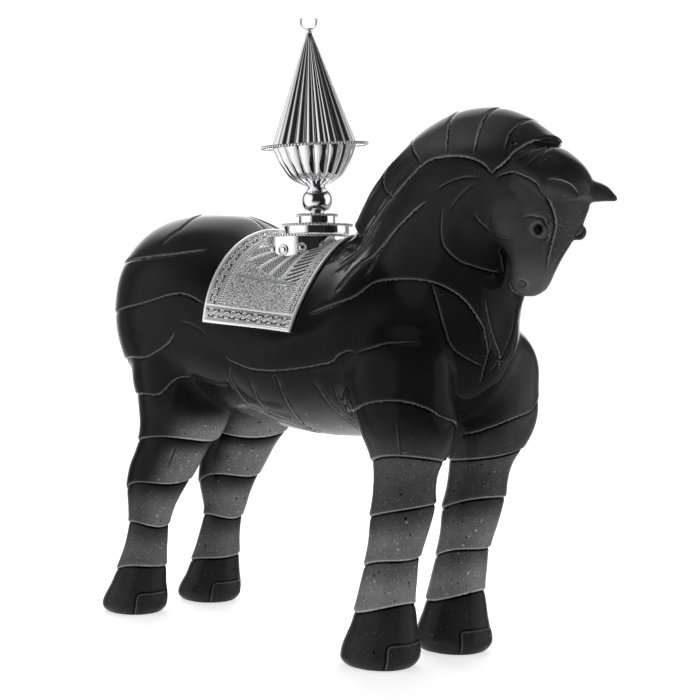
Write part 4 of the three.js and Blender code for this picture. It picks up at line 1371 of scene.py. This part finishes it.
patterns = [
    (feather_mask, feathers),
    (chevron_mask, 0.04 + 0.50 * chevrons),
    (between(v, LINE_LOW, LINE_HIGH), line),
    scroll_border(u, v, (2.2, 11.0), 6.6, 4.6, 4.2),            # rear edge
    ladder_border(u, v, (11.0, 15.6), (12.2, 14.6), 1.55),
    double_line(u, 13.4, 1.7, 2.3),
    scroll_border(w, v, (2.2, 8.6), 5.4, 3.8, 3.0),             # front edge
    ladder_border(w, v, (8.6, 12.6), (9.4, 11.8), 1.7),
    double_line(w, 10.6, 1.5, 2.0),
    scroll_border(v, u, (2.2, 11.2), 6.6, 4.8, 4.2),            # lower edge
    (between(v, 11.2, 12.2, 0.2), 0.5),
    (between(edge, -1, 2.2, 0.2), roll),
]
chased = 0.50 * ground(u, v)
for mask, height in patterns:
    chased = chased * (1 - mask) + height * mask
print(f"chasing of {len(patterns)} patterns, from {chased.min():.2f} to {chased.max():.2f} mm")

# %% [markdown]
# The outer grid, moved along its normals by the chasing, and the plain inner one become the
# two faces of the sheet, and a strip along all four edges closes it. The height of the
# chasing is stored on the mesh for the material.

# %% Make the saddle cloth
CLOTH_BUDGET = 185_000
CHASING_ZERO = 0.25                                # mm of chasing that leave the surface in place

normal = np.cross(np.gradient(outer, axis=0), np.gradient(outer, axis=1))
normal /= np.linalg.norm(normal, axis=2)[:, :, None]
if normal[ALONG // 2, AROUND // 2, 2] < 0:
    normal = -normal
shaped = outer + (chased - CHASING_ZERO)[:, :, None] * normal
count = ALONG * AROUND
upper = grid_faces(ALONG, AROUND, False)
lower = upper[:, ::-1] + count
number = np.arange(count).reshape(ALONG, AROUND)
rim = np.concatenate([number[0, :], number[1:, -1], number[-1, -2::-1], number[-2:0:-1, 0]])
rim_next = np.roll(rim, -1)
walls = np.stack([rim_next, rim, rim + count, rim_next + count], -1)
cloth_points = np.concatenate([shaped.reshape(-1, 3), inner.reshape(-1, 3)])
cloth_mesh = make_mesh("saddle_cloth_chased", cloth_points * MM, np.concatenate([upper, lower, walls]))
face_outward(cloth_mesh)
store(cloth_mesh, "chasing", np.concatenate([chased.ravel(), np.full(count, 0.3)]))
cloth = make_object("saddle_cloth_chased", thinned("saddle_cloth_chased", cloth_mesh, CLOTH_BUDGET))
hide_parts("saddle_cloth")
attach(cloth, "root")
print(f"saddle_cloth_chased: {len(cloth.data.polygons)} faces")

# %% [markdown]
# Chased silver is darkened in its cuts and polished smoother on what is raised, where its colour is painted
# near white: the silver's own brightness with a painted highlight.

# %% Engraved silver
engraved = Look("engraved_silver", Metallic=0.35, Roughness=0.3)
chasing = engraved.attribute("chasing")
# Painted highlight: the colour runs from near black in the cuts up to white on the raised metal.
dark_cuts_and_highlight = 0.03 + chasing.step(0.06, 0.40) * 0.97
engraved.feed("Base Color", engraved.grey(dark_cuts_and_highlight))
engraved.feed("Roughness", 0.45 - chasing.step(0.1, 0.5) * 0.27)
cloth.data.materials.append(engraved.material)
print("material of the cloth:", engraved.material.name)

# %% [markdown]
# The studio: a white floor and white surroundings, as in a cut-out photograph. What glass and
# silver mirror is another matter. The room is dark on the camera's side, so the body stays
# black. It is bright behind the horse, overhead and on the floor, and a window on either side
# gives the long reflections.

# %% Floor
FLOOR_HALF = 6.0
FLOOR_GAP = 0.2 * MM                               # it lies this much under the soles
floor_corners = np.array([[-1, -1, 0], [1, -1, 0], [1, 1, 0], [-1, 1, 0]]) * FLOOR_HALF - [0, 0, FLOOR_GAP]
floor = make_object("floor", make_mesh("floor", floor_corners, np.array([[0, 1, 2, 3]])))
floor.visible_glossy = False
floor_look = Look("white_floor", Roughness=0.9, Base_Color=(0.95, 0.95, 0.95, 1.0), Specular_IOR_Level=0.0)
floor_look.shader.inputs["Emission Color"].default_value = (1, 1, 1, 1)
floor_look.shader.inputs["Emission Strength"].default_value = 0.68
floor.data.materials.append(floor_look.material)
print("floor of", 2 * FLOOR_HALF, "m")

# %% [markdown]
# The room is a sum of soft patches, each a smooth step of the angle between a direction and
# the patch's middle. It lights the horse and is mirrored in it, and what is seen directly is
# plain white.

# %% Room around the horse
world = bpy.data.worlds.new("studio")
world.use_nodes = True
bpy.context.scene.world = world
sky = Nodes(world.node_tree)
sky.tree.nodes.clear()
towards = sky.node("ShaderNodeTexCoord", "Generated")


def facing(bearing, height=0.0):
    """Cosine of the angle between any direction and one given, in degrees, by its bearing to
    the right of the way in which the photograph looks and by its height."""
    turn, rise = CAMERA_AZIMUTH + math.radians(bearing), math.radians(height)
    way = (math.sin(turn) * math.cos(rise), math.cos(turn) * math.cos(rise), math.sin(rise))
    node = sky.node("ShaderNodeVectorMath", "Value", {"operation": "DOT_PRODUCT"})
    sky.tree.links.new(towards.socket, node.socket.node.inputs[0])
    node.socket.node.inputs[1].default_value = way
    return node


upright = facing(0, 90)
behind = facing(0)
glow = behind.step(0.0, 0.6) * 0.22 + behind.step(0.76, 0.95) * 0.75             # wall
glow = glow + facing(0, 34).step(0.78, 0.96) * 2.6                               # light over it
glow = glow + upright.step(0.80, 0.99) * 0.8                                     # ceiling
ground_light = upright.step(-0.12, -0.55)
glow = glow + ground_light * (0.28 + facing(-100).step(-0.2, 0.8) * 0.75)        # floor, bright on the left
low = upright.step(0.72, 0.35) * upright.step(-0.9, -0.5)
glow = glow + facing(180 - 84, 8).step(0.80, 0.93) * low * 1.15                  # window on the right
glow = glow + facing(180 + 76, 8).step(0.68, 0.90) * low * 1.1                   # wide window on the left
room = sky.node("ShaderNodeBackground", "Background", Strength=glow + 0.02)
white = sky.node("ShaderNodeBackground", "Background", Strength=1.05)
for background in (room, white):
    background.socket.node.inputs["Color"].default_value = (1, 1, 1, 1)
to_camera = sky.node("ShaderNodeLightPath", "Is Camera Ray")
choice = sky.node("ShaderNodeMixShader", "Shader", Fac=to_camera)
sky.tree.links.new(room.socket, choice.socket.node.inputs[1])
sky.tree.links.new(white.socket, choice.socket.node.inputs[2])
sky.node("ShaderNodeOutputWorld", None, Surface=choice)
bpy.context.scene.view_settings.view_transform = "Standard"
